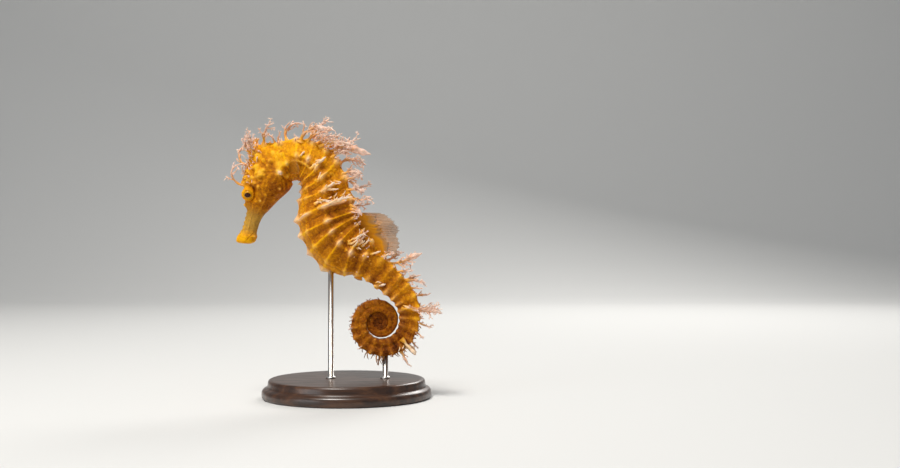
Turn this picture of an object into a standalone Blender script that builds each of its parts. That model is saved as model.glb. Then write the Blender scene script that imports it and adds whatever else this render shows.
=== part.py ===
"""A maned seahorse, life size, swimming with its tail coiled, on a turned display stand.

Metres, +Z up. The origin is the middle of the underside of the base. The snout points to -X, and the
animal's left side faces -Y. The body is one long loft: a centreline made of arcs, a depth and a width
along it, and bony rings with ridges and knobs on top. It is parted into named lengths by thin cuts.
"""
import math

import bmesh
import bpy
import numpy as np
from mathutils import Matrix, Vector

MM = 0.001

# ---------------------------------------------------------------- driving dimensions, in millimetres
GAP = 0.3                      # clearance between neighbouring solids
SNOUT_TIP = (-32.45, 49.05)    # X and Z of the mouth
SNOUT_HEADING = 73.7           # degrees above +X, going from the mouth into the head
LIP = 1.2                      # the lips' length; places along the body are measured from behind them
# The centreline from mouth to coil: name, length, turn in degrees (clockwise is negative).
SPANS = (
    ("snout", 14.2, -2.0),
    ("cheek", 9.9, -8.2),
    ("nape", 20.2, -132.4),
    ("chest", 8.8, -24.0),
    ("belly", 21.2, 63.9),
    ("tail root", 18.2, -16.7),
    ("tail shaft", 15.0, -77.5),
)
COIL_RADIUS = 9.0              # radius of curvature where the coil begins
COIL_TIGHTENING = 0.123        # radius lost per millimetre of tail: a logarithmic spiral
COIL_TURNS = 2.25

# Half sizes along the body: distance from the mouth, up to the back, down to the belly, half width.
PROFILE = (
    (-1.2, 2.75, 2.5, 2.0),    # mouth
    (0.0, 3.0, 2.4, 2.2),      # lips
    (2.6, 2.1, 2.3, 1.85),
    (6.0, 2.2, 2.4, 1.75),     # narrowest snout
    (9.3, 2.6, 3.0, 2.1),
    (12.6, 4.0, 4.6, 3.3),     # in front of the eyes
    (16.0, 5.9, 6.1, 4.3),
    (20.5, 7.2, 7.9, 4.9),     # gill covers
    (23.4, 8.2, 8.1, 4.7),
    (25.8, 8.6, 7.5, 4.1),     # crown
    (28.4, 6.6, 7.3, 3.9),
    (31.5, 5.6, 7.3, 4.1),     # narrowest neck
    (37.0, 6.2, 7.2, 4.5),
    (42.0, 6.9, 6.7, 4.9),
    (48.0, 7.9, 7.5, 5.6),
    (54.5, 9.1, 8.6, 6.5),
    (61.0, 9.0, 9.2, 7.0),     # deepest belly
    (66.5, 8.7, 8.9, 6.8),
    (71.5, 8.1, 7.4, 6.1),
    (76.0, 6.9, 5.0, 5.1),     # vent
    (81.5, 5.3, 4.4, 4.2),
    (89.0, 4.0, 3.9, 3.6),
    (97.0, 3.3, 3.7, 3.25),
    (106.0, 3.05, 3.05, 2.95),
)
COIL_SLENDERNESS = (0.342, 0.30)   # half depth over spiral radius, where the coil begins and at its end
COIL_WIDTH_SHARE = 0.93            # half width over half depth in the coil

# Bony rings: 11 on the trunk and 37 on the tail.
TRUNK_START = 28.05
TRUNK_RINGS = 11
UPPER_RING, LOWER_RING = 4.05, 4.8     # ring lengths on the chest and on the belly
TAIL_RINGS = 37
TAIL_RING_RATIO = 0.45                 # last tail ring's length over the first one's

# A section's corners, from the middle of the back (0) round to the keel (8), as angles from the back and
# as radii, where 1 reaches the half sizes above. Corner 2 is the trunk's upper ridge, 4 its side ridge
# (which runs on as the tail's upper ridge), 6 the lower ridge and 8 the keel.
CORNERS = {
    "head": ((0, 22, 45, 68, 90, 112, 135, 158, 180),
             (1.0, 1.0, 0.97, 0.98, 1.0, 1.0, 0.97, 0.97, 1.0)),
    "trunk": ((0, 13, 26, 54, 85, 111, 137, 159, 180),
              (0.93, 0.97, 1.08, 0.94, 1.0, 0.90, 0.95, 0.90, 0.95)),
    "tail": ((0, 10, 20, 30, 40, 90, 140, 160, 180),
             (0.88, 0.90, 0.96, 1.08, 1.22, 0.84, 1.20, 0.95, 0.88)),
}
HEAD_TO_TRUNK = (24.0, 33.0)
TRUNK_TO_TAIL = (71.0, 84.0)

# Heights of the relief at each corner: knobs on the trunk and on the tail.
TRUNK_KNOBS = (0.0, 0.0, 1.0, 0.0, 0.9, 0.0, 0.75, 0.0, 1.25)
TAIL_KNOBS = (0.0, 0.0, 0.2, 0.0, 1.0, 0.0, 0.55, 0.0, 0.0)
RING_BAR = 0.32                        # cross ridge round each ring

# Lumps on the head: place along the body, corner number round it, radius and height.
HEAD_LUMPS = (
    ("eye turret", 14.1, 1.7, 2.5, 1.5),
    ("brow knob", 16.3, 1.2, 1.1, 0.9),
    ("nose knob", 11.1, 0.0, 0.9, 0.9),
    ("cheek knob", 13.0, 5.2, 0.8, 0.5),
    ("jaw knob", 18.2, 5.9, 0.8, 0.5),
    ("gill cover", 19.4, 4.3, 3.4, 0.7),
    ("shoulder knob", 26.6, 4.6, 1.2, 1.1),
    ("lower shoulder knob", 26.4, 6.2, 1.0, 0.8),
)
EYE_RADIUS = 1.75
EYE_PLACE = (14.1, 3.9, 2.45)          # along the body, up toward the brow, and out to the side

# The coronet: a short column with five rounded points, seated in a flat pocket on the crown.
CORONET_PLACE, CORONET_LEAN = 25.4, 28.0
CORONET_POCKET = 1.1                   # depth of the pocket under the crown's surface
CORONET_POINTS = 5
CORONET_RINGS = ((0.0, 1.6, 0.0), (1.2, 1.45, 0.0), (2.2, 1.35, 0.12), (3.0, 1.55, 0.22),
                 (3.7, 1.7, 0.34), (3.0, 0.7, 0.0))     # height, radius, depth of the lobes

# Fins, as fans of rays: share along the root, ray length, ray lean toward the tail in degrees.
FIN_THICKNESS = 0.56
DORSAL_ROOT = (57.3, 79.3)             # 20 rays over the last trunk rings and the first of the tail
DORSAL_RAYS = ((0.0, 10.9, 14.0), (0.25, 12.4, 27.0), (0.5, 11.5, 42.0), (0.75, 8.4, 60.0), (1.0, 3.2, 70.0))
ANAL_ROOT = (76.0, 78.4)
ANAL_RAYS = ((0.0, 1.3, 20.0), (0.5, 2.1, 30.0), (1.0, 1.6, 45.0))
PECTORAL_PLACE = 29.3                  # along the body
PECTORAL_CORNERS = (4.3, 5.75)
PECTORAL_RAYS = ((0.0, 2.6), (0.3, 3.6), (0.7, 3.6), (1.0, 2.6))
PECTORAL_SPREAD = 38.0                 # degrees the fin stands away from the flank

# The mane's largest fronds: the length of body each grows from, place along it, corner (left is positive),
# frond length, lean toward the tail, turn along it, tilt to its own side, root radius, swelling, twigs.
THINNEST = 0.26                        # radius of the finest solid tip
TWIG_BEND = 52                         # degrees between a twig and its stalk
FRONDS = (
    ("head", 16.5, 1.2, 9.7, -8, 168, 10, 0.42, 0.0, 2),
    ("head", 22.4, -0.8, 10.4, -33, 185, 14, 0.42, 0.0, 2),
    ("head", 26.9, 1.2, 8.8, 26, 60, 14, 0.45, 0.0, 3),
    ("neck", 31.0, -1.9, 10.6, -34, 150, 16, 0.55, 0.1, 1),
    ("neck", 33.9, 1.9, 11.7, 11, 94, 18, 0.55, 0.1, 3),
    ("neck", 34.6, -1.9, 10.7, 27, 42, 24, 0.50, 0.1, 2),
    ("neck", 37.9, 1.9, 10.9, 24, 54, 12, 0.50, 0.1, 2),
    ("neck", 38.4, -1.9, 12.0, 25, 50, 26, 0.55, 0.2, 2),
    ("neck", 39.3, 0.7, 14.2, 28, 37, 4, 0.60, 0.8, 3),
    ("trunk_upper", 42.4, -1.9, 10.2, -17, 86, 20, 0.50, 0.0, 2),
    ("trunk_upper", 46.3, 1.9, 6.4, 8, -28, 22, 0.42, 0.0, 2),
    ("trunk_upper", 50.9, 1.9, 8.3, 9, -18, 16, 0.42, 0.0, 2),
    ("tail_root", 83.3, 2.0, 11.4, 39, -16, 8, 0.55, 0.6, 2),
    ("tail_root", 90.0, -3.2, 5.4, 19, 15, 26, 0.45, 0.0, 1),
    ("tail_root", 89.8, 3.0, 7.4, 41, 21, 10, 0.45, 0.1, 2),
    ("tail_shaft", 94.5, -3.0, 5.4, 34, -14, 18, 0.45, 0.0, 1),
    ("tail_shaft", 98.2, 3.0, 7.4, 24, -19, 12, 0.45, 0.1, 1),
    ("tail_coil_right", 109.9, 3.0, 6.0, 10, -10, 14, 0.50, 0.2, 0),
    ("tail_coil_right", 115.3, -3.0, 4.4, 10, 0, 20, 0.40, 0.0, 1),
)

# The display stand.
BASE_OUTLINE = ((24.4, 6.0), (25.0, 5.4), (25.3, 3.5), (26.2, 3.1), (27.0, 2.4), (27.0, 0.6),
                (26.5, 0.0))           # radius and height, down the turned edge
ROD_RADIUS = 0.9
ROD_SEAT = 3.0                         # height of the rods' lower ends, inside the base
RODS = (("stand_rod_belly", -5.1, 38.9), ("stand_rod_tail", 12.3, 13.1))    # X and upper end


# ---------------------------------------------------------------- the centreline
def centreline():
    """Arrays of place, X, Z and heading, every tenth of a millimetre, mouth to tail tip."""
    step = 0.1
    curvature = []
    for _, length, turn in SPANS:
        count = round(length / step)
        curvature += [math.radians(turn) / length] * count
    spiral_length = COIL_RADIUS / COIL_TIGHTENING
    coil_length = spiral_length * (1 - math.exp(-COIL_TIGHTENING * 2 * math.pi * COIL_TURNS))
    for i in range(round(coil_length / step)):
        remaining = spiral_length - (i + 0.5) * step
        curvature.append(-1 / (COIL_TIGHTENING * remaining))
    heading = math.radians(SNOUT_HEADING) + np.concatenate([[0], np.cumsum(curvature) * step])
    middle = (heading[1:] + heading[:-1]) / 2
    x = SNOUT_TIP[0] + np.concatenate([[0], np.cumsum(np.cos(middle) * step)])
    z = SNOUT_TIP[1] + np.concatenate([[0], np.cumsum(np.sin(middle) * step)])
    return np.arange(len(x)) * step - LIP, x, z, heading


WAY, WAY_X, WAY_Z, WAY_HEADING = centreline()
BODY_LENGTH = WAY[-1]
COIL_START = sum(length for _, length, _ in SPANS) - LIP


def frame_at(s):
    """The centreline's point at s, the direction to the back and the direction of travel."""
    x, z, h = (np.interp(s, WAY, values) for values in (WAY_X, WAY_Z, WAY_HEADING))
    middle = np.stack([x, 0 * x, z], -1)
    back = np.stack([-np.sin(h), 0 * h, np.cos(h)], -1)
    along = np.stack([np.cos(h), 0 * h, np.sin(h)], -1)
    return middle, back, along


def smooth(low, high, value):
    t = np.clip((value - low) / (high - low), 0, 1)
    return t * t * (3 - 2 * t)


def through(places, values, s):
    """A smooth curve through the values, with no overshoot at a step: a Hermite spline."""
    places, values = np.array(places, float), np.array(values, float)
    slopes = np.gradient(values, places)
    secants = np.diff(values) / np.diff(places)
    for i in range(1, len(values) - 1):
        if secants[i - 1] * secants[i] <= 0:
            slopes[i] = 0
    i = np.clip(np.searchsorted(places, s, side="right") - 1, 0, len(places) - 2)
    span = places[i + 1] - places[i]
    t = np.clip((s - places[i]) / span, 0, 1)
    return ((2 * t**3 - 3 * t**2 + 1) * values[i] + (t**3 - 2 * t**2 + t) * span * slopes[i]
            + (3 * t**2 - 2 * t**3) * values[i + 1] + (t**3 - t**2) * span * slopes[i + 1])


def half_sizes(s):
    """Up to the back, down to the belly and half the width, at s."""
    table = np.array(PROFILE)
    sizes = [through(table[:, 0], table[:, k], np.minimum(s, COIL_START)) for k in (1, 2, 3)]
    along_coil = np.clip((s - COIL_START) / (BODY_LENGTH - COIL_START), 0, 1)
    spiral_radius = COIL_RADIUS - COIL_TIGHTENING * (s - COIL_START)
    share = COIL_SLENDERNESS[0] + (COIL_SLENDERNESS[1] - COIL_SLENDERNESS[0]) * along_coil
    depth = share * spiral_radius
    tip = np.sqrt(np.clip((BODY_LENGTH + 0.02 - s) / 1.2, 0, 1))
    in_coil = s > COIL_START
    coil = (depth * tip, depth * tip, depth * COIL_WIDTH_SHARE * tip)
    return [np.where(in_coil, c, w) for c, w in zip(coil, sizes)]


# ---------------------------------------------------------------- rings
def ring_joints():
    """The places where one ring ends and the next begins, from the shoulder to the tail tip."""
    joints = [TRUNK_START]
    for i in range(TRUNK_RINGS):
        joints.append(joints[-1] + UPPER_RING + (LOWER_RING - UPPER_RING) * float(smooth(4, 8, i + 1)))
    lengths = np.linspace(1, TAIL_RING_RATIO, TAIL_RINGS)
    lengths *= (BODY_LENGTH - joints[-1]) / lengths.sum()
    return np.array(joints + list(joints[-1] + np.cumsum(lengths)))


JOINTS = ring_joints()
VENT = JOINTS[TRUNK_RINGS]


def ring_share(s):
    """How far through its ring s is, from 0 to 1, and that ring's length."""
    i = np.clip(np.searchsorted(JOINTS, s, side="right") - 1, 0, len(JOINTS) - 2)
    length = JOINTS[i + 1] - JOINTS[i]
    return (s - JOINTS[i]) / length, length


# ---------------------------------------------------------------- the surface
def region_mix(s, head, trunk, tail):
    to_trunk, to_tail = smooth(*HEAD_TO_TRUNK, s), smooth(*TRUNK_TO_TAIL, s)
    return head + (trunk - head) * to_trunk + (tail - trunk) * to_tail


def plain_surface(s, corner):
    """The body's smooth surface at s, and the way out of it. Corner runs from 0 at the back to 8 at the
    keel, on the left side where it is positive and on the right side where it is negative."""
    s, corner = np.broadcast_arrays(np.asarray(s, float), np.asarray(corner, float))
    side = np.abs(corner)
    knots = np.arange(9)
    shapes = [[np.interp(side, knots, row) for row in CORNERS[name]] for name in ("head", "trunk", "tail")]
    angle = np.radians(region_mix(s, *[shape[0] for shape in shapes]))
    radius = region_mix(s, *[shape[1] for shape in shapes])
    up, down, half_width = half_sizes(s)
    toward_back = radius * np.cos(angle)
    lateral = -np.sign(corner) * radius * np.sin(angle) * half_width
    lift = toward_back * np.where(toward_back > 0, up, down)
    middle, back, _ = frame_at(s)
    sideways = np.array([0.0, 1.0, 0.0])
    out = back * lift[..., None] + sideways * lateral[..., None]
    length = np.linalg.norm(out, axis=-1, keepdims=True)
    return middle + out, out / np.maximum(length, 1e-6)


def coil_calm(s):
    """1 where knobs can stand free, falling to a little where coiled rings lie against each other."""
    return 1 - 0.9 * smooth(COIL_START + 22, COIL_START + 36, s)


def relief(s, corner):
    """Height of the ring bars and knobs over the plain surface."""
    s, corner = np.broadcast_arrays(np.asarray(s, float), np.asarray(corner, float))
    share, length = ring_share(s)
    off_middle = np.abs(share - 0.5) * length
    armoured = smooth(TRUNK_START - 1, TRUNK_START + 1, s)
    size = np.where(s < VENT, 1.0, 0.85 * length / (JOINTS[TRUNK_RINGS + 1] - VENT))
    bar = RING_BAR * size * np.exp(-((off_middle / 0.45) ** 2))
    knob = np.zeros_like(s)
    for number in range(9):
        tail_part = smooth(VENT - 3, VENT + 4, s)
        height = TRUNK_KNOBS[number] + (TAIL_KNOBS[number] - TRUNK_KNOBS[number]) * tail_part
        inner = 0.15 if number == 6 else 1.0
        if number > 5:
            height = height * (1 - 0.75 * smooth(44, 38, s))       # little inside the throat's fold
        height *= 1 - (1 - inner) * smooth(COIL_START - 12, COIL_START + 2, s)
        knob += height * np.exp(-(((np.abs(corner) - number) / 0.45) ** 2))
    knob *= size * (0.25 + 0.75 * np.exp(-((off_middle / 0.7) ** 2)))
    return armoured * coil_calm(s) * (bar + knob)


def surface(s, corner):
    point, out = plain_surface(s, corner)
    lumps = np.zeros(point.shape[:-1])
    for _, place, around, radius, height in HEAD_LUMPS:
        for sign in (1, -1):
            if sign < 0 and around == 0:
                continue
            middle, _ = plain_surface(place, sign * around)
            far = np.linalg.norm(point - middle, axis=-1)
            lumps = np.maximum(lumps, height * np.exp(-((far / radius) ** 2)))
    return point + out * (lumps + relief(s, corner))[..., None]


# ---------------------------------------------------------------- making objects
def collection(name):
    made = bpy.data.collections.new(name)
    bpy.context.scene.collection.children.link(made)
    return made


def finish(name, colour, roughness, metallic=0.0):
    material = bpy.data.materials.new(name)
    material.use_nodes = True
    shader = material.node_tree.nodes["Principled BSDF"]
    shader.inputs["Base Color"].default_value = (*colour, 1.0)
    shader.inputs["Roughness"].default_value = roughness
    shader.inputs["Metallic"].default_value = metallic
    return material


def add_mesh(name, mesh, group, material):
    made = bpy.data.objects.new(name, mesh)
    group.objects.link(made)
    if material:
        mesh.materials.clear()
        mesh.materials.append(material)
    return made


def place(s, up, side):
    """A point measured from the centreline at s: up to the back, and out to the side (+Y positive)."""
    middle, back, _ = frame_at(np.array(float(s)))
    return middle + back * up + np.array([0.0, side, 0.0])


def leaning(s, degrees, tilt=0.0):
    """The back's direction at s, leant toward the tail and tilted toward +Y."""
    _, back, along = frame_at(np.array(float(s)))
    a, t = math.radians(degrees), math.radians(tilt)
    in_plane = back * math.cos(a) + along * math.sin(a)
    return in_plane * math.cos(t) + np.array([0.0, math.sin(t), 0.0])


def mesh_from(bm, name):
    bmesh.ops.recalc_face_normals(bm, faces=bm.faces)
    mesh = bpy.data.meshes.new(name)
    bm.to_mesh(mesh)
    bm.free()
    mesh.shade_smooth()
    mesh.set_sharp_from_angle(angle=math.radians(35))
    return mesh


def loft(name, rings, middles):
    """A closed skin over rings of points, with a fan to a middle point at each end."""
    bm = bmesh.new()
    rows = [[bm.verts.new(Vector(p) * MM) for p in ring] for ring in rings]
    count = len(rows[0])
    for low, high in zip(rows, rows[1:]):
        for k in range(count):
            bm.faces.new((low[k], low[(k + 1) % count], high[(k + 1) % count], high[k]))
    for row, middle in ((rows[0], middles[0]), (rows[-1], middles[1])):
        hub = bm.verts.new(Vector(middle) * MM)
        for k in range(count):
            bm.faces.new((row[k], row[(k + 1) % count], hub))
    return mesh_from(bm, name)


def body_mesh(name, start, end, stations, corners):
    """The length of body between two cuts, each cut set back by half the gap along the body."""
    corners = np.array(list(corners) + [-c for c in corners[-2:0:-1]], float)
    inner = [s for s in stations if start + 0.35 < s < end - 0.35]
    rings = [surface(s, corners) for s in (start, *inner, end)]
    hubs = [frame_at(np.array(s))[0] for s in (start, end)]
    for k, s, sign in ((0, start, 1), (-1, end, -1)):
        if -LIP < s < BODY_LENGTH - 0.1:
            shift = frame_at(np.array(s))[2] * sign * GAP / 2
            rings[k] = rings[k] + shift
            hubs[k] = hubs[k] + shift
    return loft(name, rings, hubs)


def cut(target, cutter):
    modifier = target.modifiers.new("cut with " + cutter.name, "BOOLEAN")
    modifier.operation = "DIFFERENCE"
    modifier.solver = "EXACT"
    modifier.object = cutter


def apply_modifiers(target):
    """Makes the evaluated shape the object's own mesh."""
    graph = bpy.context.evaluated_depsgraph_get()
    mesh = bpy.data.meshes.new_from_object(target.evaluated_get(graph))
    target.modifiers.clear()
    target.data = mesh


def join_to(target, extra):
    """Adds a solid to the target by a Boolean union."""
    modifier = target.modifiers.new("join", "BOOLEAN")
    modifier.operation = "UNION"
    modifier.solver = "EXACT"
    modifier.object = extra
    apply_modifiers(target)
    bpy.data.objects.remove(extra)


# ---------------------------------------------------------------- the body's lengths
HEAD_CORNERS = (0, 0.8, 1.6, 2.3, 3.1, 4, 4.8, 5.6, 6.4, 7.2, 8)
PLAIN = tuple(range(9))
TAIL_CORNERS = (0, 2, 4, 5, 6, 8)
INNER_CORNERS = (0, 4, 5, 6, 8)
SNOUT_STATIONS = (-0.6, 0.2, 1.2, 2.6, 5.0, 7.5)
HEAD_STATIONS = np.arange(10.6, 27.6, 1.05)


def ring_stations(shares):
    starts, lengths = JOINTS[:-1], np.diff(JOINTS)
    return [a + length * share for a, length in zip(starts, lengths) for share in shares]


def tail_joint(ring):
    return float(JOINTS[TRUNK_RINGS + ring])


LENGTHS = (
    ("snout", -LIP, 10.0, SNOUT_STATIONS, PLAIN),
    ("head", 10.0, TRUNK_START, HEAD_STATIONS, HEAD_CORNERS),
    ("neck", TRUNK_START, float(JOINTS[3]), ring_stations((0.0, 0.32, 0.5, 0.68)), PLAIN),
    ("trunk_upper", float(JOINTS[3]), float(JOINTS[7]), ring_stations((0.0, 0.36, 0.5, 0.64)), PLAIN),
    ("trunk_lower", float(JOINTS[7]), float(VENT), ring_stations((0.0, 0.36, 0.5, 0.64)), PLAIN),
    ("tail_root", float(VENT), tail_joint(5), ring_stations((0.0, 0.5)), PLAIN),
    ("tail_shaft", tail_joint(5), tail_joint(10), ring_stations((0.0, 0.5)), TAIL_CORNERS),
    ("tail_coil_right", tail_joint(10), tail_joint(15), ring_stations((0.0, 0.5)), TAIL_CORNERS),
    ("tail_coil_left", tail_joint(15), tail_joint(20), ring_stations((0.0, 0.5)), TAIL_CORNERS),
    ("tail_coil_inner", tail_joint(20), tail_joint(28), ring_stations((0.0, 0.5)), INNER_CORNERS),
    ("tail_tip", tail_joint(28), float(BODY_LENGTH) - 0.05, ring_stations((0.0, 0.5)), INNER_CORNERS),
)


# ---------------------------------------------------------------- eyes, coronet, fins, fronds, stand
def add_cutter(name, mesh, group):
    cutter = add_mesh(name, mesh, group, None)
    cutter.display_type = "WIRE"
    cutter.hide_render = True
    return cutter


def ball(name, middle, radius, segments=12, rings=8):
    bm = bmesh.new()
    bmesh.ops.create_uvsphere(bm, u_segments=segments, v_segments=rings, radius=radius * MM,
                              matrix=Matrix.Translation(Vector(middle) * MM))
    return mesh_from(bm, name)


def cylinder(name, base, axis, length, radius, segments):
    """A plain round bar that starts at its base and runs along its axis."""
    turn = Vector((0.0, 0.0, 1.0)).rotation_difference(Vector(axis))
    middle = Vector(base) + Vector(axis).normalized() * length / 2
    bm = bmesh.new()
    bmesh.ops.create_cone(bm, cap_ends=True, segments=segments, radius1=radius * MM, radius2=radius * MM,
                          depth=length * MM,
                          matrix=Matrix.Translation(middle * MM) @ turn.to_matrix().to_4x4())
    return mesh_from(bm, name)


def lobed_column(name, base, axis, rings, columns, lobes):
    """A loft along an axis through (height, radius, lobe depth) rings."""
    side = np.cross(axis, (0.0, 1.0, 0.0))
    side /= np.linalg.norm(side)
    other = np.cross(axis, side)
    angles = np.arange(columns) * 2 * math.pi / columns
    rows = []
    for height, radius, depth in rings:
        reach = radius * (1 + depth * np.cos(lobes * angles))
        rows.append(base + axis * height + np.outer(reach * np.cos(angles), side)
                    + np.outer(reach * np.sin(angles), other))
    return loft(name, rows, [base + axis * rings[k][0] for k in (0, -1)])


def vane(name, group, material, roots, tips, outward, waves, steps):
    """A thin fin: an open sheet of rays from roots to tips, waved a little, with Solidify."""
    bm = bmesh.new()
    rows = []
    for share in np.linspace(0, 1, steps + 1):
        sway = waves * share * np.sin(np.linspace(0, 3 * math.pi, len(roots)) + 1.4 * share)
        points = roots + (tips - roots) * share + outward * sway[:, None]
        rows.append([bm.verts.new(Vector(p) * MM) for p in points])
    for low, high in zip(rows, rows[1:]):
        for k in range(len(roots) - 1):
            bm.faces.new((low[k], low[k + 1], high[k + 1], high[k]))
    fin = add_mesh(name, mesh_from(bm, name), group, material)
    thicken = fin.modifiers.new("thickness", "SOLIDIFY")
    thicken.thickness = FIN_THICKNESS * MM
    thicken.offset = 0.0
    return fin


def median_fin(name, group, material, root, rays, count, waves, belly=False):
    """A fin standing on the middle of the back or of the belly."""
    shares = np.linspace(0, 1, count)
    table = np.array(rays)
    lengths = through(table[:, 0], table[:, 1], shares)
    leans = through(table[:, 0], table[:, 2], shares)
    ways = root[0] + (root[1] - root[0]) * shares
    feet, _ = plain_surface(ways, 8.0 if belly else 0.0)
    down = np.array([leaning(s, 180 if belly else 0) for s in ways])
    feet = feet + down * (GAP + RING_BAR)
    reach = np.array([leaning(s, 180 - lean if belly else lean) for s, lean in zip(ways, leans)])
    tips = feet + reach * lengths[:, None]
    return vane(name, group, material, feet, tips, np.array([0.0, 1.0, 0.0]), waves, 4)


def pectoral_fin(name, group, material, sign):
    """A small rounded fan behind the gill cover, standing away from the flank."""
    shares = np.linspace(0, 1, 7)
    corners = sign * (PECTORAL_CORNERS[0] + (PECTORAL_CORNERS[1] - PECTORAL_CORNERS[0]) * shares)
    feet, _ = plain_surface(PECTORAL_PLACE, corners)
    flank = np.array([0.0, -sign, 0.0])
    feet = feet + flank * (GAP + RING_BAR + 0.1)
    table = np.array(PECTORAL_RAYS)
    lengths = through(table[:, 0], table[:, 1], shares)
    _, _, along = frame_at(np.array(PECTORAL_PLACE))
    spread = math.radians(PECTORAL_SPREAD)
    ray = along * math.cos(spread) + flank * math.sin(spread)
    fan = (shares - 0.5) * -3.0
    across = feet[-1] - feet[0]
    across /= np.linalg.norm(across)
    tips = feet + ray * lengths[:, None] - np.outer(fan * 0.5, across)
    outward = np.cross(across, ray)
    return vane(name, group, material, feet, tips, outward / np.linalg.norm(outward), 0.12, 2)


def frond_path(s, corner, length, lean, turn, tilt, steps):
    """Points along a frond from just under the skin, turning steadily toward the tail."""
    root, _ = plain_surface(s, corner)
    step = length / steps
    points = [root + leaning(s, lean * 0.4, 0) * -0.6, root + leaning(s, lean * 0.7, 0) * 0.4]
    side = -np.sign(corner)
    for i in range(steps):
        heading = lean + turn * (i + 0.5) / steps
        points.append(points[-1] + leaning(s, heading, side * tilt) * step)
    return np.array(points)


def rod_along(name, group, material, points, radii, resolution):
    """A round, tapering rod: a curve with a bevel and filled caps, made a closed mesh."""
    curve = bpy.data.curves.new(name, "CURVE")
    curve.dimensions = "3D"
    curve.bevel_depth = MM
    curve.bevel_resolution = resolution
    curve.use_fill_caps = True
    spline = curve.splines.new("POLY")
    spline.points.add(len(points) - 1)
    for knot, point, radius in zip(spline.points, points, radii):
        knot.co = (*(Vector(point) * MM), 1.0)
        knot.radius = radius
    bent = bpy.data.objects.new(name + "_curve", curve)
    group.objects.link(bent)
    graph = bpy.context.evaluated_depsgraph_get()
    mesh = bpy.data.meshes.new_from_object(bent.evaluated_get(graph))
    bpy.data.objects.remove(bent)
    bm = bmesh.new()
    bm.from_mesh(mesh)
    bmesh.ops.remove_doubles(bm, verts=bm.verts, dist=1e-6)
    return add_mesh(name, mesh_from(bm, name), group, material)


def grow_frond(target, group, s, corner, length, lean, turn, tilt, radius, swell, twigs):
    """Joins one frond and its twigs to the length of body it grows from."""
    steps = 4
    material = target.data.materials[0]
    points = frond_path(s, corner, length, lean, turn, tilt, steps)
    share = np.linspace(0, 1, len(points))
    radii = np.maximum(radius * (1 - 0.45 * share) * (1 + swell * np.sin(math.pi * share)), THINNEST)
    stalk = rod_along("frond", group, material, points, radii, 1)
    for number in range(twigs):
        k = min(3 + number, len(points) - 2)
        bend = TWIG_BEND if number % 2 else -TWIG_BEND
        heading = lean + turn * (k - 1.5) / steps + bend
        way = leaning(s, heading, -np.sign(corner) * (tilt + 10 * (-1) ** number))
        start = points[k] - way * 0.1
        reach = length * (0.34 - 0.05 * number)
        twig = rod_along("twig", group, material, (start, start + way * reach), (0.33, THINNEST), 0)
        join_to(stalk, twig)
    join_to(target, stalk)


def add_eyes(animal, cutters, head):
    pearl = finish("eye", (0.55, 0.36, 0.05), 0.15)
    s, up, side = EYE_PLACE
    for name, sign in (("eye_left", -1), ("eye_right", 1)):
        middle = place(s, up, sign * side)
        add_mesh(name, ball(name, middle, EYE_RADIUS), animal, pearl)
        socket = name.replace("eye", "socket")
        cut(head, add_cutter(socket, ball(socket, middle, EYE_RADIUS + GAP, 16, 10), cutters))


def add_coronet(animal, cutters, head, skin):
    top, _ = plain_surface(CORONET_PLACE, 0.0)
    axis = leaning(CORONET_PLACE, CORONET_LEAN)
    floor = top - axis * CORONET_POCKET
    width = CORONET_RINGS[0][1] + GAP
    cut(head, add_cutter("coronet_pocket", cylinder("coronet_pocket", floor, axis, 4.0, width, 16), cutters))
    crown = lobed_column("coronet", floor + axis * GAP, axis, CORONET_RINGS, 15, CORONET_POINTS)
    add_mesh("coronet", crown, animal, skin)


def add_fins(animal):
    web = finish("fin", (0.86, 0.55, 0.22), 0.4)
    median_fin("dorsal_fin", animal, web, DORSAL_ROOT, DORSAL_RAYS, 14, 0.55)
    median_fin("anal_fin", animal, web, ANAL_ROOT, ANAL_RAYS, 4, 0.0, belly=True)
    for name, sign in (("pectoral_fin_left", 1), ("pectoral_fin_right", -1)):
        pectoral_fin(name, animal, web, sign)


def turned_base(animal, material):
    """The base: its outline from the top's middle down to the underside's middle, turned by Screw."""
    outline = [(0.0, BASE_OUTLINE[0][1]), *BASE_OUTLINE, (0.0, BASE_OUTLINE[-1][1])]
    mesh = bpy.data.meshes.new("stand_base")
    mesh.from_pydata([(x * MM, 0.0, z * MM) for x, z in outline],
                     [(k, k + 1) for k in range(len(outline) - 1)], [])
    base = add_mesh("stand_base", mesh, animal, material)
    spin = base.modifiers.new("turned", "SCREW")
    spin.steps = spin.render_steps = 36
    spin.use_merge_vertices = True
    spin.merge_threshold = 0.00001
    return base


def add_stand(animal, cutters, lengths):
    wood = finish("stand_wood", (0.12, 0.06, 0.03), 0.4)
    metal = finish("stand_metal", (0.75, 0.72, 0.66), 0.3, 1.0)
    base = turned_base(animal, wood)
    up = (0.0, 0.0, 1.0)
    for name, x, top in RODS:
        rod = cylinder(name, (x, 0.0, ROD_SEAT), up, top - ROD_SEAT, ROD_RADIUS, 14)
        add_mesh(name, rod, animal, metal)
        bore = cylinder(name + "_bore", (x, 0.0, ROD_SEAT - GAP), up, top - ROD_SEAT + 2 * GAP,
                        ROD_RADIUS + GAP, 16)
        add_cutter(name + "_bore", bore, cutters)
        for target in (base, *lengths):
            cut(target, cutters.objects[name + "_bore"])


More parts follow.
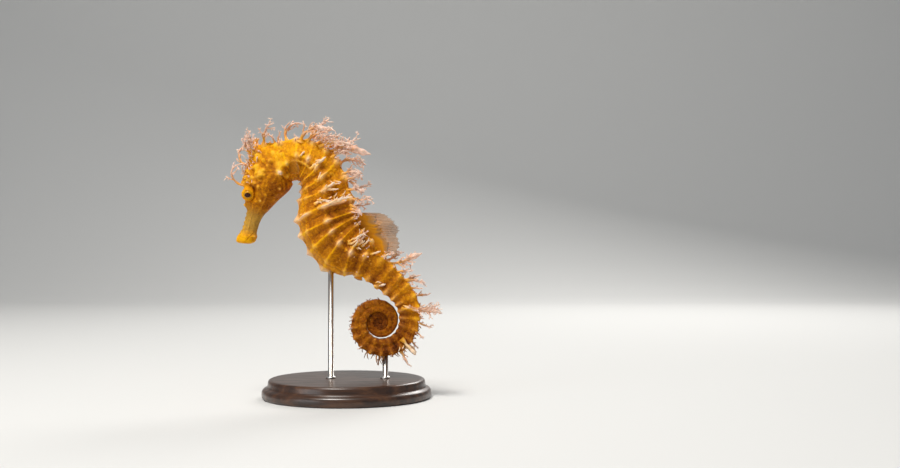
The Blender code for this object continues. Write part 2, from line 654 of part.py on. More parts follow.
# ---------------------------------------------------------------- the whole
def main():
    for old in list(bpy.data.objects):
        bpy.data.objects.remove(old)
    animal, cutters = collection("seahorse"), collection("cutters")
    skin = finish("skin", (0.78, 0.42, 0.03), 0.55)
    flesh = {}
    for name, start, end, stations, corners in LENGTHS:
        flesh[name] = add_mesh(name, body_mesh(name, start, end, stations, corners), animal, skin)
    for row in FRONDS:
        grow_frond(flesh[row[0]], animal, *row[1:])
    add_eyes(animal, cutters, flesh["head"])
    add_coronet(animal, cutters, flesh["head"], skin)
    add_fins(animal)
    add_stand(animal, cutters, [flesh["trunk_lower"], flesh["tail_coil_right"]])
    cutters.hide_render = True


main()
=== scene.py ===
# %% [markdown]
# # A maned seahorse on a display stand
# A maned seahorse is a small fish in a suit of bony rings. It swims upright, carries its head like a
# chess knight, and wears a mane of soft branched filaments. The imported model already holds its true
# size and outline as plain solids. This notebook dresses that model: one continuous skin with its
# ridges and knobs, the eyes, the fins, the mane, and the turned stand that holds the animal up.

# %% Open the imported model
import math

import bmesh
import bpy
import numpy as np
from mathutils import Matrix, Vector


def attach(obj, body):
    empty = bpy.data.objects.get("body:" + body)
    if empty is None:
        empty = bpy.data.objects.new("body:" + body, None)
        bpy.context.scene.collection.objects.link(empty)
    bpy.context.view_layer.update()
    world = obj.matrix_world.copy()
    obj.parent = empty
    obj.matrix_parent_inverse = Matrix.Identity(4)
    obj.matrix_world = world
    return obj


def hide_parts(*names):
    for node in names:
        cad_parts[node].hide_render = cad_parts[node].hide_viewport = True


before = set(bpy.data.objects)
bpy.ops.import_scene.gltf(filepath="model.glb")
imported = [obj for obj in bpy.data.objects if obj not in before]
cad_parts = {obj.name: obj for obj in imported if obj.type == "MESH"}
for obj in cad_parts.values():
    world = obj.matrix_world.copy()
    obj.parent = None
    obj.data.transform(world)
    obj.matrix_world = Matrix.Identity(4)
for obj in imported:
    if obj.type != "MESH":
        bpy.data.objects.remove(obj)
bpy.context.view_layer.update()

MM = 0.001
rng = np.random.default_rng(11)


def put(name, data):
    """A new object in the scene that shows this data."""
    made = bpy.data.objects.new(name, data)
    bpy.context.scene.collection.objects.link(made)
    return made


# %% [markdown]
# ## Floor, light and camera
# The animal is shown as a museum shows a small specimen: on a pale sweep of paper that curves up behind
# it, with one large soft lamp high in front, a second to open the shadows, and a third behind that
# catches the thin edges of fins and filaments. The camera looks straight at the animal's left side
# from about forty centimetres away, with a normal lens, and stands a little to the tail's side.

# %% The sweep of paper
FLOOR_FRONT, FLOOR_DEPTH, FLOOR_WIDTH = -4.0, 0.9, 6.0
WALL_TOP = 1.6
SWEEP_RADIUS, SWEEP_STEPS = 0.35, 12


def paper_sweep():
    """A floor that turns up into a wall through a quarter circle."""
    bend = FLOOR_DEPTH - SWEEP_RADIUS
    profile = [(FLOOR_FRONT, 0.0), (bend, 0.0)]
    for k in range(1, SWEEP_STEPS + 1):
        a = math.pi / 2 * k / SWEEP_STEPS
        profile.append((bend + SWEEP_RADIUS * math.sin(a), SWEEP_RADIUS * (1 - math.cos(a))))
    profile.append((FLOOR_DEPTH, WALL_TOP))
    bm = bmesh.new()
    rows = [[bm.verts.new((x, y, z)) for y, z in profile] for x in (-FLOOR_WIDTH / 2, FLOOR_WIDTH / 2)]
    for k in range(len(profile) - 1):
        bm.faces.new((rows[0][k], rows[1][k], rows[1][k + 1], rows[0][k + 1]))
    mesh = bpy.data.meshes.new("paper_sweep")
    bm.to_mesh(mesh)
    bm.free()
    mesh.shade_smooth()
    return put("paper_sweep", mesh)


floor = paper_sweep()
paper = bpy.data.materials.new("pale_paper")
paper.use_nodes = True
paper_shader = paper.node_tree.nodes["Principled BSDF"]
paper_shader.inputs["Base Color"].default_value = (0.66, 0.66, 0.65, 1.0)
paper_shader.inputs["Roughness"].default_value = 0.9
floor.data.materials.append(paper)
print("paper sweep:", len(floor.data.polygons), "faces")

# %% Lamps and camera
AIM = Vector((0.0, 0.0, 0.05))
CAMERA_PLACE = (0.033, -0.4, 0.0522)


def soft_lamp(name, place, size, watts, colour):
    light = bpy.data.lights.new(name, "AREA")
    light.size = size
    light.energy = watts
    light.color = colour
    lamp = put(name, light)
    lamp.location = place
    lamp.rotation_euler = (AIM - Vector(place)).to_track_quat("-Z", "Y").to_euler()


soft_lamp("key_lamp", (-0.14, -0.24, 0.66), 0.20, 4.6, (1.0, 0.97, 0.92))
soft_lamp("fill_lamp", (-0.5, -0.42, 0.12), 0.4, 1.3, (0.97, 0.98, 1.0))
soft_lamp("rim_lamp", (0.22, 0.5, 0.42), 0.3, 2.4, (1.0, 0.98, 0.95))
sky = bpy.data.worlds.new("studio_air")
sky.use_nodes = True
air = sky.node_tree.nodes["Background"]
air.inputs["Color"].default_value = (0.86, 0.9, 0.95, 1.0)
air.inputs["Strength"].default_value = 0.26
bpy.context.scene.world = sky

lens = bpy.data.cameras.new("camera")
lens.lens = 50.0
lens.sensor_width = 36.0
camera = put("camera", lens)
camera.location = CAMERA_PLACE
camera.rotation_euler = (math.pi / 2, 0.0, 0.0)
bpy.context.scene.camera = camera
bpy.context.scene.view_settings.view_transform = "Standard"      # keeps the animal's gold as painted
print("camera", CAMERA_PLACE, "lens", lens.lens)

# %% [markdown]
# ## Small helpers
# Most pieces start as rows of points, so one helper turns points and faces into an object, another
# writes a value on each point for a material to read, and a small class adds shader nodes by name. All
# plans below are in millimetres, and become metres only when a mesh is made.

# %% Helpers for meshes
def mesh_object(name, points, faces):
    mesh = bpy.data.meshes.new(name)
    mesh.from_pydata((np.asarray(points) * MM).tolist(), [], faces)
    mesh.update()
    mesh.shade_smooth()
    return put(name, mesh)


def face_outward(piece):
    """Turns every face of a closed piece to look out of it."""
    bm = bmesh.new()
    bm.from_mesh(piece.data)
    bmesh.ops.recalc_face_normals(bm, faces=bm.faces)
    bm.to_mesh(piece.data)
    bm.free()


def capped_rings(rings, around):
    """Faces of a closed round form whose points are one pole, a number of rings, and the other pole."""
    faces, last = [], 1 + rings * around
    for k in range(around):
        j = (k + 1) % around
        faces.append((0, 1 + k, 1 + j))
        faces.append((last, last - around + j, last - around + k))
        for r in range(rings - 1):
            a, b = 1 + r * around, 1 + (r + 1) * around
            faces.append((a + k, b + k, b + j, a + j))
    return faces


def write_values(piece, name, values):
    """One number for each point of the mesh, which a material reads as an attribute."""
    layer = piece.data.attributes.new(name, "FLOAT", "POINT")
    layer.data.foreach_set("value", np.asarray(values, np.float32).ravel())


def dress(piece, slot, *nodes):
    """Ties a finished piece to the model, and hides the solids it is seen in place of. The slot of paint is
    not used.
    """
    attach(piece, "root")
    if nodes:
        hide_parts(*nodes)


print("a capped form of 3 rings and 8 columns has", len(capped_rings(3, 8)), "faces")

# %% Helpers for curves of values
def smooth(low, high, value):
    """0 at low and before it, 1 at high and past it, and an even S between them."""
    t = np.clip((value - low) / (high - low), 0, 1)
    return t * t * (3 - 2 * t)


def through(places, values, s):
    """A smooth curve through the values, with no overshoot at a step: a Hermite spline."""
    places, values = np.array(places, float), np.array(values, float)
    slopes = np.gradient(values, places)
    secants = np.diff(values) / np.diff(places)
    for i in range(1, len(values) - 1):
        if secants[i - 1] * secants[i] <= 0:
            slopes[i] = 0
    i = np.clip(np.searchsorted(places, s, side="right") - 1, 0, len(places) - 2)
    span = places[i + 1] - places[i]
    t = np.clip((s - places[i]) / span, 0, 1)
    return ((2 * t**3 - 3 * t**2 + 1) * values[i] + (t**3 - 2 * t**2 + t) * span * slopes[i]
            + (3 * t**2 - 2 * t**3) * values[i + 1] + (t**3 - t**2) * span * slopes[i + 1])


print("a smooth step is", float(smooth(0, 4, 1)), "a quarter of the way up it")

# %% Helpers for materials
class Finish:
    """A node material that is written top down: each call adds one node and gives its output."""

    def __init__(self, name, roughness, **numbers):
        self.material = bpy.data.materials.new(name)
        self.material.use_nodes = True
        self.tree = self.material.node_tree
        self.shader = self.tree.nodes["Principled BSDF"]
        self.shader.inputs["Roughness"].default_value = roughness
        for socket, value in numbers.items():
            self.shader.inputs[socket.replace("_", " ")].default_value = value
        self.coords = self.tree.nodes.new("ShaderNodeTexCoord").outputs["Object"]

    def add(self, kind, inputs, output=0, **settings):
        made = self.tree.nodes.new(kind)
        for name, value in settings.items():
            setattr(made, name, value)
        for key, value in inputs.items():
            if isinstance(value, bpy.types.NodeSocket):
                self.tree.links.new(value, made.inputs[key])
            else:
                made.inputs[key].default_value = value
        return made.outputs[output]

    def value(self, name):
        return self.add("ShaderNodeAttribute", {}, "Fac", attribute_name=name)

    def noise(self, scale, detail, rough=0.55, vector=None):
        return self.add("ShaderNodeTexNoise", {"Vector": vector or self.coords, "Scale": scale,
                                               "Detail": detail, "Roughness": rough}, "Fac")

    def cells(self, scale):
        return self.add("ShaderNodeTexVoronoi", {"Vector": self.coords, "Scale": scale}, "Distance")

    def maths(self, operation, a, b=0.0, clamp=False):
        return self.add("ShaderNodeMath", {0: a, 1: b}, operation=operation, use_clamp=clamp)

    def span(self, value, low, high, to_low=0.0, to_high=1.0):
        return self.add("ShaderNodeMapRange", {"Value": value, "From Min": low, "From Max": high,
                                               "To Min": to_low, "To Max": to_high})

    def unsettle(self, value, noise, amount):
        """The value, pushed up and down by a noise, so that no blend of colours runs evenly."""
        push = self.maths("MULTIPLY", self.maths("SUBTRACT", noise, 0.5), amount)
        return self.maths("ADD", value, push)

    def mix(self, factor, a, b):
        made = self.tree.nodes.new("ShaderNodeMix")
        made.data_type = "RGBA"
        for socket, value in ((made.inputs[0], factor), (made.inputs[6], a), (made.inputs[7], b)):
            if isinstance(value, bpy.types.NodeSocket):
                self.tree.links.new(value, socket)
            else:
                socket.default_value = (*value, 1.0) if isinstance(value, tuple) else value
        return made.outputs[2]

    def paint(self, socket, output):
        self.tree.links.new(output, self.shader.inputs[socket])

    def ramp(self, value, *stops):
        """Colours along a value: each stop is a place from 0 to 1 and the colour there."""
        made = self.tree.nodes.new("ShaderNodeValToRGB")
        self.tree.links.new(value, made.inputs[0])
        for spot, colour in stops[1:-1]:
            made.color_ramp.elements.new(spot).color = (*colour, 1.0)
        for element, (spot, colour) in zip(made.color_ramp.elements, stops):
            element.position, element.color = spot, (*colour, 1.0)
        return made.outputs[0]

    def bump(self, height, distance, strength, under=None):
        inputs = {"Height": height, "Distance": distance, "Strength": strength}
        if under:
            inputs["Normal"] = under
        return self.add("ShaderNodeBump", inputs, "Normal")


print("each finish starts from a shader with", len(paper_shader.inputs), "sockets")

# %% [markdown]
# ## The body's plan
# The whole animal is one tube around a line. The line is a handful of arcs: down the snout, over the
# nape, round the chest and belly, and into a tail that rolls up as a logarithmic spiral, as a seahorse
# rolls it from the tip. Along the line run three smooth curves: how far up to the back, how far down to
# the belly, and half the width. They repeat the plan of the solids, so the skin lands on them.

# %% The line down the middle of the body
SNOUT_TIP = (-32.45, 49.05)
SNOUT_HEADING = 73.7
LIP = 1.2
SPANS = ((14.2, -2.0), (9.9, -8.2), (20.2, -132.4), (8.8, -24.0), (21.2, 63.9), (18.2, -16.7),
         (15.0, -77.5))                 # length, and turn in degrees: snout to the tail's shaft
COIL_RADIUS = 9.0
COIL_TIGHTENING = 0.123
COIL_TURNS = 2.25                       # the turns that the solids have
TIP_TURNS = 1.0                         # the tip winds on inside them, as tight as it can
LINE_STEP = 0.1


def body_line():
    """Places along the line, where they lie, the way on there, and the place where the rings end."""
    step, curvature = LINE_STEP, []
    for length, turn in SPANS:
        curvature += [math.radians(turn) / length] * round(length / step)
    spiral = COIL_RADIUS / COIL_TIGHTENING
    coil, with_tip = (spiral * (1 - math.exp(-COIL_TIGHTENING * 2 * math.pi * turns))
                      for turns in (COIL_TURNS, COIL_TURNS + TIP_TURNS))
    coil_end = (len(curvature) + round(coil / step)) * step - LIP
    for i in range(round(with_tip / step)):
        curvature.append(-1 / (COIL_TIGHTENING * (spiral - (i + 0.5) * step)))
    heading = math.radians(SNOUT_HEADING) + np.concatenate([[0], np.cumsum(curvature) * step])
    middle = (heading[1:] + heading[:-1]) / 2
    x = SNOUT_TIP[0] + np.concatenate([[0], np.cumsum(np.cos(middle) * step)])
    z = SNOUT_TIP[1] + np.concatenate([[0], np.cumsum(np.sin(middle) * step)])
    return np.arange(len(x)) * step - LIP, x, z, heading, coil_end


LINE, LINE_X, LINE_Z, LINE_HEADING, RINGED_END = body_line()
BODY_END = LINE[-1] - 0.05
COIL_START = sum(length for length, _ in SPANS) - LIP


def frame_at(s):
    """The line's point at s, the way to the back there, and the way toward the tail."""
    x, z, h = (np.interp(s, LINE, values) for values in (LINE_X, LINE_Z, LINE_HEADING))
    return (np.stack([x, 0 * x, z], -1), np.stack([-np.sin(h), 0 * h, np.cos(h)], -1),
            np.stack([np.cos(h), 0 * h, np.sin(h)], -1))


print("body length along the line:", round(BODY_END + LIP, 1), "mm")

# %% Depth and width along the line
PROFILE = np.array((
    (-1.2, 3.1, 2.9, 2.1), (0.0, 3.25, 3.0, 2.3), (2.6, 2.35, 2.5, 1.9), (6.0, 2.3, 2.4, 1.75),
    (9.3, 2.6, 3.0, 2.1), (12.6, 4.0, 4.6, 3.3), (16.0, 5.9, 6.1, 4.3), (20.5, 7.2, 7.9, 4.9),
    (23.4, 8.2, 8.1, 4.7), (25.8, 8.6, 7.5, 4.1), (28.4, 6.6, 7.3, 3.9), (31.5, 5.6, 7.3, 4.1),
    (37.0, 6.2, 7.2, 4.5), (42.0, 6.9, 6.7, 4.9), (48.0, 7.9, 7.5, 5.6), (54.5, 9.1, 8.6, 6.5),
    (61.0, 9.0, 9.2, 7.0), (66.5, 8.7, 9.2, 6.8), (71.5, 8.1, 7.9, 6.1), (76.0, 6.9, 5.3, 5.1),
    (81.5, 5.3, 4.4, 4.2), (89.0, 4.0, 3.9, 3.6), (97.0, 3.3, 3.7, 3.25), (106.0, 3.05, 3.05, 2.95),
))                                      # place, up to the back, down to the belly, half width
COIL_SLENDERNESS = np.array((           # place, and the half depths over the coil's own radius there:
    (106.3, .342, .342), (119, .342, .342), (126, .380, .380), (142, .385, .385), (145.7, .33, .36),
    (148.5, .315, .37), (152.0, .32, .38), (155, .39, .40), (162.5, .41, .44), (164.5, .45, .56),
    (167.5, .47, .85), (169.5, .48, 1.15), (172, .5, 1.4), (174, .50, 1.5),
))                                      # outward and inward; only the first half turn stands clear
COIL_WIDTH_SHARE = 0.93


def half_sizes(s):
    up, down, width = (through(PROFILE[:, 0], PROFILE[:, k], np.minimum(s, COIL_START)) for k in (1, 2, 3))
    radius = COIL_RADIUS - COIL_TIGHTENING * (s - COIL_START)
    outer, inner = (np.interp(s, COIL_SLENDERNESS[:, 0], COIL_SLENDERNESS[:, k]) * radius for k in (1, 2))
    outer = outer * np.sqrt(np.clip((BODY_END + 0.07 - s) / 1.2, 0, 1))
    coiled = s > COIL_START
    return (np.where(coiled, outer, up), np.where(coiled, inner, down),
            np.where(coiled, outer * COIL_WIDTH_SHARE, width))


print("deepest:", round(float(sum(half_sizes(61.0)[:2])), 1), "mm, widest:",
      round(2 * float(half_sizes(61.0)[2]), 1), "mm")

# %% [markdown]
# ## Rings and corners
# Eleven bony rings armour the trunk and thirty-seven the tail. In section the head is a smooth oval,
# the trunk has seven corners and the tail four. Places round the body are given as a corner number from
# 0, the middle of the back, to 8, the keel: the trunk's upper ridge is 2, its side ridge 4, and its
# lower ridge 6. Behind the vent the side ridge climbs and becomes the tail's upper ridge.

# %% Rings
SHOULDER = 28.05
TRUNK_RINGS = 11
UPPER_RING, LOWER_RING = 4.05, 4.8
TAIL_RINGS = 37
TIP_RINGS = 6                           # drawn on the tip's last turn, past the true ones
TAIL_RING_RATIO = 0.45


def ring_joints():
    joints = [SHOULDER]
    for i in range(TRUNK_RINGS):
        joints.append(joints[-1] + UPPER_RING + (LOWER_RING - UPPER_RING) * float(smooth(4, 8, i + 1)))
    lengths = np.linspace(1, TAIL_RING_RATIO, TAIL_RINGS)
    lengths *= (RINGED_END - joints[-1]) / lengths.sum()
    joints += list(joints[-1] + np.cumsum(lengths))
    return np.array(joints + list(np.linspace(joints[-1], LINE[-1], TIP_RINGS + 1)[1:]))


JOINTS = ring_joints()
VENT = JOINTS[TRUNK_RINGS]
FIRST_TAIL_RING = JOINTS[TRUNK_RINGS + 1] - VENT


def ring_place(s):
    """Which ring s is in, how far from that ring's middle, and the ring's length."""
    number = np.clip(np.searchsorted(JOINTS, s, side="right") - 1, 0, len(JOINTS) - 2)
    length = JOINTS[number + 1] - JOINTS[number]
    return number, s - JOINTS[number] - length / 2, length


# The trunk's rings are not square to the line: each crosses the flank some way headward of its own place.
RING_LEAN = np.array((                  # own place, headward at the middle line, and for each mm above it
    (28.0, 0.0, 0.0), (38.2, 0.8, 0.2), (42.2, 1.3, 0.3), (46.3, 2.0, 0.40), (50.6, 2.2, 0.41),
    (55.2, 1.7, 0.33), (59.9, 1.5, 0.13), (64.7, 2.6, 0.18), (69.5, 2.9, 0.18), (74.3, 2.7, 0.22),
    (78.4, 2.2, 0.14), (81.7, 1.1, 0.0), (85.0, 0.4, 0.0), (90.0, 0.0, 0.0),
))


def ring_shift(s, lift):
    """How far headward of its own place a ring lies where it crosses the skin at s."""
    shift = 0.0
    for _ in range(5):
        at_middle, by_lift = (np.interp(s + shift, RING_LEAN[:, 0], RING_LEAN[:, k]) for k in (1, 2))
        shift = at_middle + by_lift * lift
    return shift


print("rings:", TRUNK_RINGS + TAIL_RINGS, "and", TIP_RINGS, "on the tip; vent at", round(float(VENT), 1), "mm")

# %% Sections
HEAD_ANGLES = np.array((0, 22, 45, 68, 90, 112, 135, 158, 180.0))
TRUNK_ANGLES = np.array((0, 13, 26, 54, 85, 111, 137, 159, 180.0))
TAIL_ANGLES = np.array((0, 10, 20, 30, 40, 90, 140, 160, 180.0))
HEAD_RADII = (1.0, 1.0, 0.97, 0.98, 1.0, 1.0, 0.97, 0.97, 1.0)
TRUNK_RADII = (0.93, 0.97, 1.08, 0.94, 1.0, 0.91, 0.95, 0.925, 0.95)
TAIL_RADII = (0.88, 0.90, 0.96, 1.08, 1.22, 0.84, 1.20, 0.95, 0.88)
HEAD_TO_TRUNK = (24.0, 33.0)
TRUNK_TO_TAIL = (71.0, 84.0)


def by_region(s, head, trunk, tail):
    to_trunk, to_tail = smooth(*HEAD_TO_TRUNK, s), smooth(*TRUNK_TO_TAIL, s)
    return head + (trunk - head) * to_trunk + (tail - trunk) * to_tail


def section(s, corner):
    """Height over the middle line and distance from the middle plane, at a corner number."""
    side = np.abs(corner)
    knots = np.arange(9.0)
    angle = np.radians(by_region(s, *(np.interp(side, knots, row)
                                      for row in (HEAD_ANGLES, TRUNK_ANGLES, TAIL_ANGLES))))
    radius = by_region(s, *(np.interp(side, knots, row) for row in (HEAD_RADII, TRUNK_RADII, TAIL_RADII)))
    up, down, width = half_sizes(s)
    toward_back = radius * np.cos(angle)
    return toward_back * np.where(toward_back > 0, up, down), radius * np.sin(angle) * width


def plain_surface(s, corner):
    """A point of the bare tube and the way out of it. Positive corners are on the left side."""
    s, corner = np.broadcast_arrays(np.asarray(s, float), np.asarray(corner, float))
    lift, aside = section(s, corner)
    middle, back, _ = frame_at(s)
    out = back * lift[..., None]
    out[..., 1] = -np.sign(corner) * aside
    return middle + out, out / np.maximum(np.linalg.norm(out, axis=-1, keepdims=True), 1e-6)


def crest_place(ring_middle, corner):
    """Where along the body a ring's crest passes through a corner."""
    s = ring_middle
    for _ in range(8):
        s = ring_middle - float(ring_shift(s, section(s, corner)[0]))
    return s


sixth = float(JOINTS[5] + JOINTS[6]) / 2
print("the sixth ring's own place:", round(sixth, 1), "where it meets the side ridge:",
      round(crest_place(sixth, 4.0), 1))

# %% [markdown]
# ## The skin's relief
# On a real seahorse the skin is stretched thin over the plates, so the skeleton shows. Each ring has a
# crest round its middle and a faint groove at its joint. Ridges run lengthwise through the corners, and
# where a ridge meets a crest there is a knob, tallest along the keel. No two knobs are quite alike, so
# each gets its own height from a table of random numbers with a fixed seed.

# %% Crests, ridges and knobs
TRUNK_KNOBS = (0.0, 0.0, 1.0, 0.0, 0.8, 0.0, 0.25, 0.0, 1.3)
TAIL_KNOBS = (0.0, 0.0, 0.2, 0.0, 0.65, 0.0, 0.7, 0.0, 0.0)
KEEL_SIZES = (0.7, 1.25, 1.15, 0.9, 1.0, 0.1)   # the keel's knobs from the sixth ring to the vent
CREST_HEIGHT, CREST_WIDTH = 0.38, 0.28
RIDGE_HEIGHT = 0.12
GROOVE_DEPTH = 0.12
SWELL_HEIGHT = 0.2                      # the plates dish gently between one crest and the next
KNOB_LENGTH, KNOB_BREADTH = 0.72, 0.8
RIDGE_SHARE, BULB_SHARE = 0.22, 0.78    # of a knob's height: in the ridge it stands on, in its own bulb
knob_size = rng.uniform(0.7, 1.15, (len(JOINTS), 9, 2))
knob_size[5:11, 8] = np.array(KEEL_SIZES)[:, None]
knob_size[:2, 4] = ((0.0,), (0.45,))    # the neck's side knobs are part of the head's own
crest_size = rng.uniform(0.55, 1.1, len(JOINTS))
crest_phase = rng.uniform(0, 6.28, len(JOINTS))


def relief(s, corner):
    """Height over the bare tube, and how much of it is crest and how much is knob, from 0 to 1."""
    s, corner = np.broadcast_arrays(np.asarray(s, float), np.asarray(corner, float))
    number, off, length = ring_place(s + ring_shift(s, section(s, corner)[0]))
    side = np.abs(corner)
    right = (corner < 0).astype(int)
    size = np.where(s < VENT, 1.0, 0.85 * length / FIRST_TAIL_RING)
    armoured = smooth(SHOULDER - 0.8, SHOULDER + 0.8, s)
    calm = armoured * (1 - 0.9 * smooth(COIL_START + 22, COIL_START + 36, s))
    mm_per_corner = sum(half_sizes(s)) / 3 * math.pi / 8
    crest = np.exp(-((off / (CREST_WIDTH * np.sqrt(size))) ** 2))
    crest = crest * crest_size[number] * (1 - 0.62 * smooth(VENT - 4, VENT + 8, s))
    crest = crest * (1 - 0.4 * smooth(46, 34, s))
    crest = crest * (0.78 + 0.22 * np.cos(1.7 * side + crest_phase[number]))
    height = CREST_HEIGHT * size * crest * (0.8 + 0.2 * np.cos(math.pi * side))
    swell = SWELL_HEIGHT * size * smooth(36, 46, s) * (1 - 0.6 * smooth(VENT - 2, VENT + 10, s))
    height += swell * np.cos(2 * math.pi * off / length) * (1 - 0.8 * smooth(6.0, 7.6, side))
    height -= GROOVE_DEPTH * size * np.exp(-(((length / 2 - np.abs(off)) / 0.2) ** 2))
    knobs = np.zeros_like(s)
    to_tail = smooth(VENT - 3, VENT + 4, s)
    for n in (2, 4, 6, 8):
        tall = TRUNK_KNOBS[n] + (TAIL_KNOBS[n] - TRUNK_KNOBS[n]) * to_tail
        if n > 5:
            tall = tall * (1 - 0.75 * smooth(44, 38, s))
        if n == 6:
            tall = tall * (1 - 0.85 * smooth(COIL_START - 12, COIL_START + 2, s))
        tall = tall * knob_size[number, n, right if n < 8 else 0] * size
        across = (side - n) * mm_per_corner
        ridge = np.exp(-((across / (0.5 * np.sqrt(size))) ** 2)) * (tall > 0.02)
        height += ridge * (RIDGE_HEIGHT * size + RIDGE_SHARE * tall)
        broad, blunt = (1.45, 2.6) if n == 8 else (1.0, 1.8)        # the keel's are broader and blunter
        far = np.sqrt((off / KNOB_LENGTH) ** 2 + (across / KNOB_BREADTH) ** 2) / np.sqrt(size)
        bulb = np.exp(-(far / broad) ** blunt)
        height += (BULB_SHARE * tall - RIDGE_HEIGHT * size * 0.6) * bulb * (tall > 0.02)
        seen = 1 - (0.75 if n < 5 else 0.4) * smooth(VENT - 6, VENT + 4, s)
        knobs = np.maximum(knobs, bulb ** (0.5 if n == 8 else 1.0) * seen * np.clip(tall * 1.3, 0, 1))
    shown = calm * crest * (0.15 + 0.85 * smooth(1.2, 3.0, side) * smooth(VENT + 2, VENT - 6, s))
    return calm * height, shown, calm * knobs


print("tallest knob:", round(float(relief(np.linspace(50, 60, 400), 8.0)[0].max()), 2), "mm")

# %% [markdown]
# ## What stands out on the head
# The head has no rings. It carries spines and knobs of its own: one on the nose, one over each eye,
# a crowd of small ones on the crown, and a pair behind the gill cover. The gill cover is a thin bony
# plate with fine rays struck from its upper front corner, and a pale ridge runs over it from the brow.
# Each is placed as one would measure it from the side, along the body and up from its middle line.

# %% Features of the head
SPINES = (                              # along, above the middle line, radius, height, paleness
    ("nose spine", 10.5, 3.4, 0.75, 1.25, 1.0), ("nose foot", 11.9, 3.9, 0.9, 0.6, 0.7),
    ("brow spine", 16.7, 6.2, 0.8, 1.15, 0.8), ("brow foot", 17.9, 6.6, 0.9, 0.7, 0.5),
    ("crown knob", 21.7, 2.0, 1.2, 0.9, 0.7), ("upper crown knob", 20.4, 5.9, 0.9, 0.7, 0.4),
    ("hind crown knob", 24.2, 5.2, 1.0, 0.7, 0.4), ("shoulder spine", 25.3, -2.6, 1.35, 1.5, 1.7),
    ("neck spine", 30.1, -1.4, 1.05, 1.2, 1.0), ("nape knob", 27.6, 3.0, 0.9, 0.6, 0.5),
    ("cheek spine", 13.4, -0.9, 0.45, 0.5, 1.0), ("gill spine", 19.5, -5.0, 0.5, 0.45, 0.9),
    ("jaw angle", 11.2, -3.2, 0.9, 0.45, 0.2), ("low shoulder spine", 26.9, -5.0, 0.8, 0.75, 0.5),
    ("shoulder mound", 27.4, -0.9, 1.8, 0.7, 0.4), ("lip corner", 0.4, -2.2, 0.5, 0.22, 0.8),
    ("cheek fold", 15.2, -4.6, 0.8, 0.3, 0.2),
)
HEAD_RIDGES = (                         # points along a ridge, half width, height, paleness
    ("brow ridge", ((15.6, 6.3), (17.4, 5.6), (19.0, 3.9), (20.6, 2.0), (22.2, 0.2)), 0.4, 0.32, 0.45),
    ("orbit ridge", ((16.6, 3.2), (18.2, 1.9), (19.8, 0.6)), 0.3, 0.2, 0.2),
    ("gill rim", ((21.9, 0.4), (23.4, -1.4), (23.9, -3.4), (22.6, -5.4), (20.0, -6.3), (16.8, -5.7)),
     0.4, 0.16, 0.0),
    ("snout side", ((1.6, 0.2), (5.0, 0.3), (9.0, 0.5), (11.8, 1.2)), 0.3, 0.2, 0.1),
    ("cheek ridge", ((9.4, -1.2), (12.0, -1.8), (14.6, -2.2), (16.4, -1.6)), 0.4, 0.25, 0.15),
    ("jaw ridge", ((6.0, -1.9), (9.0, -2.4), (12.0, -3.6), (15.0, -4.9)), 0.3, 0.18, 0.1),
    ("shoulder ridge", ((25.3, -2.6), (27.4, -1.6), (30.1, -1.4)), 0.45, 0.35, 0.3),
    ("neck ridge", ((30.1, -1.4), (33.0, -1.2), (35.6, -1.2), (38.2, -1.3), (40.8, -1.6)), 0.34, 0.4, 0.6),
)
FURROWS = (                             # points along a furrow, half width, depth
    ("mouth corner", ((-1.2, -0.3), (-0.2, -0.75), (1.0, -1.25), (2.2, -1.5)), 0.13, 0.2),
    ("gill slit", ((22.6, 0.4), (24.1, -1.6), (24.7, -3.6), (23.4, -6.0), (20.5, -7.0)), 0.34, 0.14),
    ("collar", ((27.0, 4.4), (26.3, 1.9), (25.3, 0.0), (24.2, -1.9)), 0.8, 0.12),
    ("throat", ((9.5, -2.6), (13.0, -4.1), (17.0, -5.9)), 0.25, 0.16),
    ("behind the eye", ((15.9, 1.4), (16.9, 2.6), (17.2, 4.4)), 0.3, 0.22),
)
CREST_STREAKS = (                       # middle of a ring, from corner, to corner, half width, brightness
    (55.18, 8.0, 5.3, 0.5, 1.0), (55.18, 4.5, 2.4, 0.5, 1.0), (50.63, 8.0, 7.0, 0.5, 0.8),
    (50.63, 4.5, 3.2, 0.4, 0.8), (46.33, 4.4, 3.4, 0.3, 0.5), (42.22, 4.2, 3.2, 0.4, 0.7),
)
GILL_HINGE, GILL_MIDDLE, GILL_REACH = (15.9, -1.0), (19.3, -2.7), (4.3, 3.1)
GILL_LIFT, GILL_RAY_HEIGHT, GILL_RAYS = 0.24, 0.06, 21                     # rays to a full turn


def corner_at(s, lift):
    """The corner number at which the left flank has this height over the middle line."""
    knots = np.linspace(0, 8, 161)
    points, _ = plain_surface(np.full_like(knots, s), knots)
    middle, back, _ = frame_at(np.array(float(s)))
    return float(np.interp(-lift, -((points - middle) @ back), knots))


def flank_point(s, lift, sign=1):
    return plain_surface(float(s), sign * corner_at(s, lift))[0]


print("spines:", len(SPINES), "ridges:", len(HEAD_RIDGES), "furrows:", len(FURROWS))

# %% [markdown]
# ## Laying out the skin
# The skin is a grid: rows across the body, closer where a crest needs them, and columns along it. The
# tail is slender, so half the columns are enough there and every second one stops just past the vent.

# %% Rows and columns
COLUMNS = 144
HEAD_ROWS, TRUNK_RING_ROWS = 167, 24
TAIL_RING_ROWS, TIP_RING_ROWS, TIP_FROM_RING = 13, 10, 22
THIN_FROM = float(JOINTS[TRUNK_RINGS + 1])


def ring_rows(start, end, count):
    """Rows through one ring. On the tail they gather toward the crest in its middle."""
    t = (np.arange(count) + 0.5) / count
    return start + (end - start) * (t + 0.5 * np.sin(2 * math.pi * t) / (2 * math.pi) * (start > VENT))


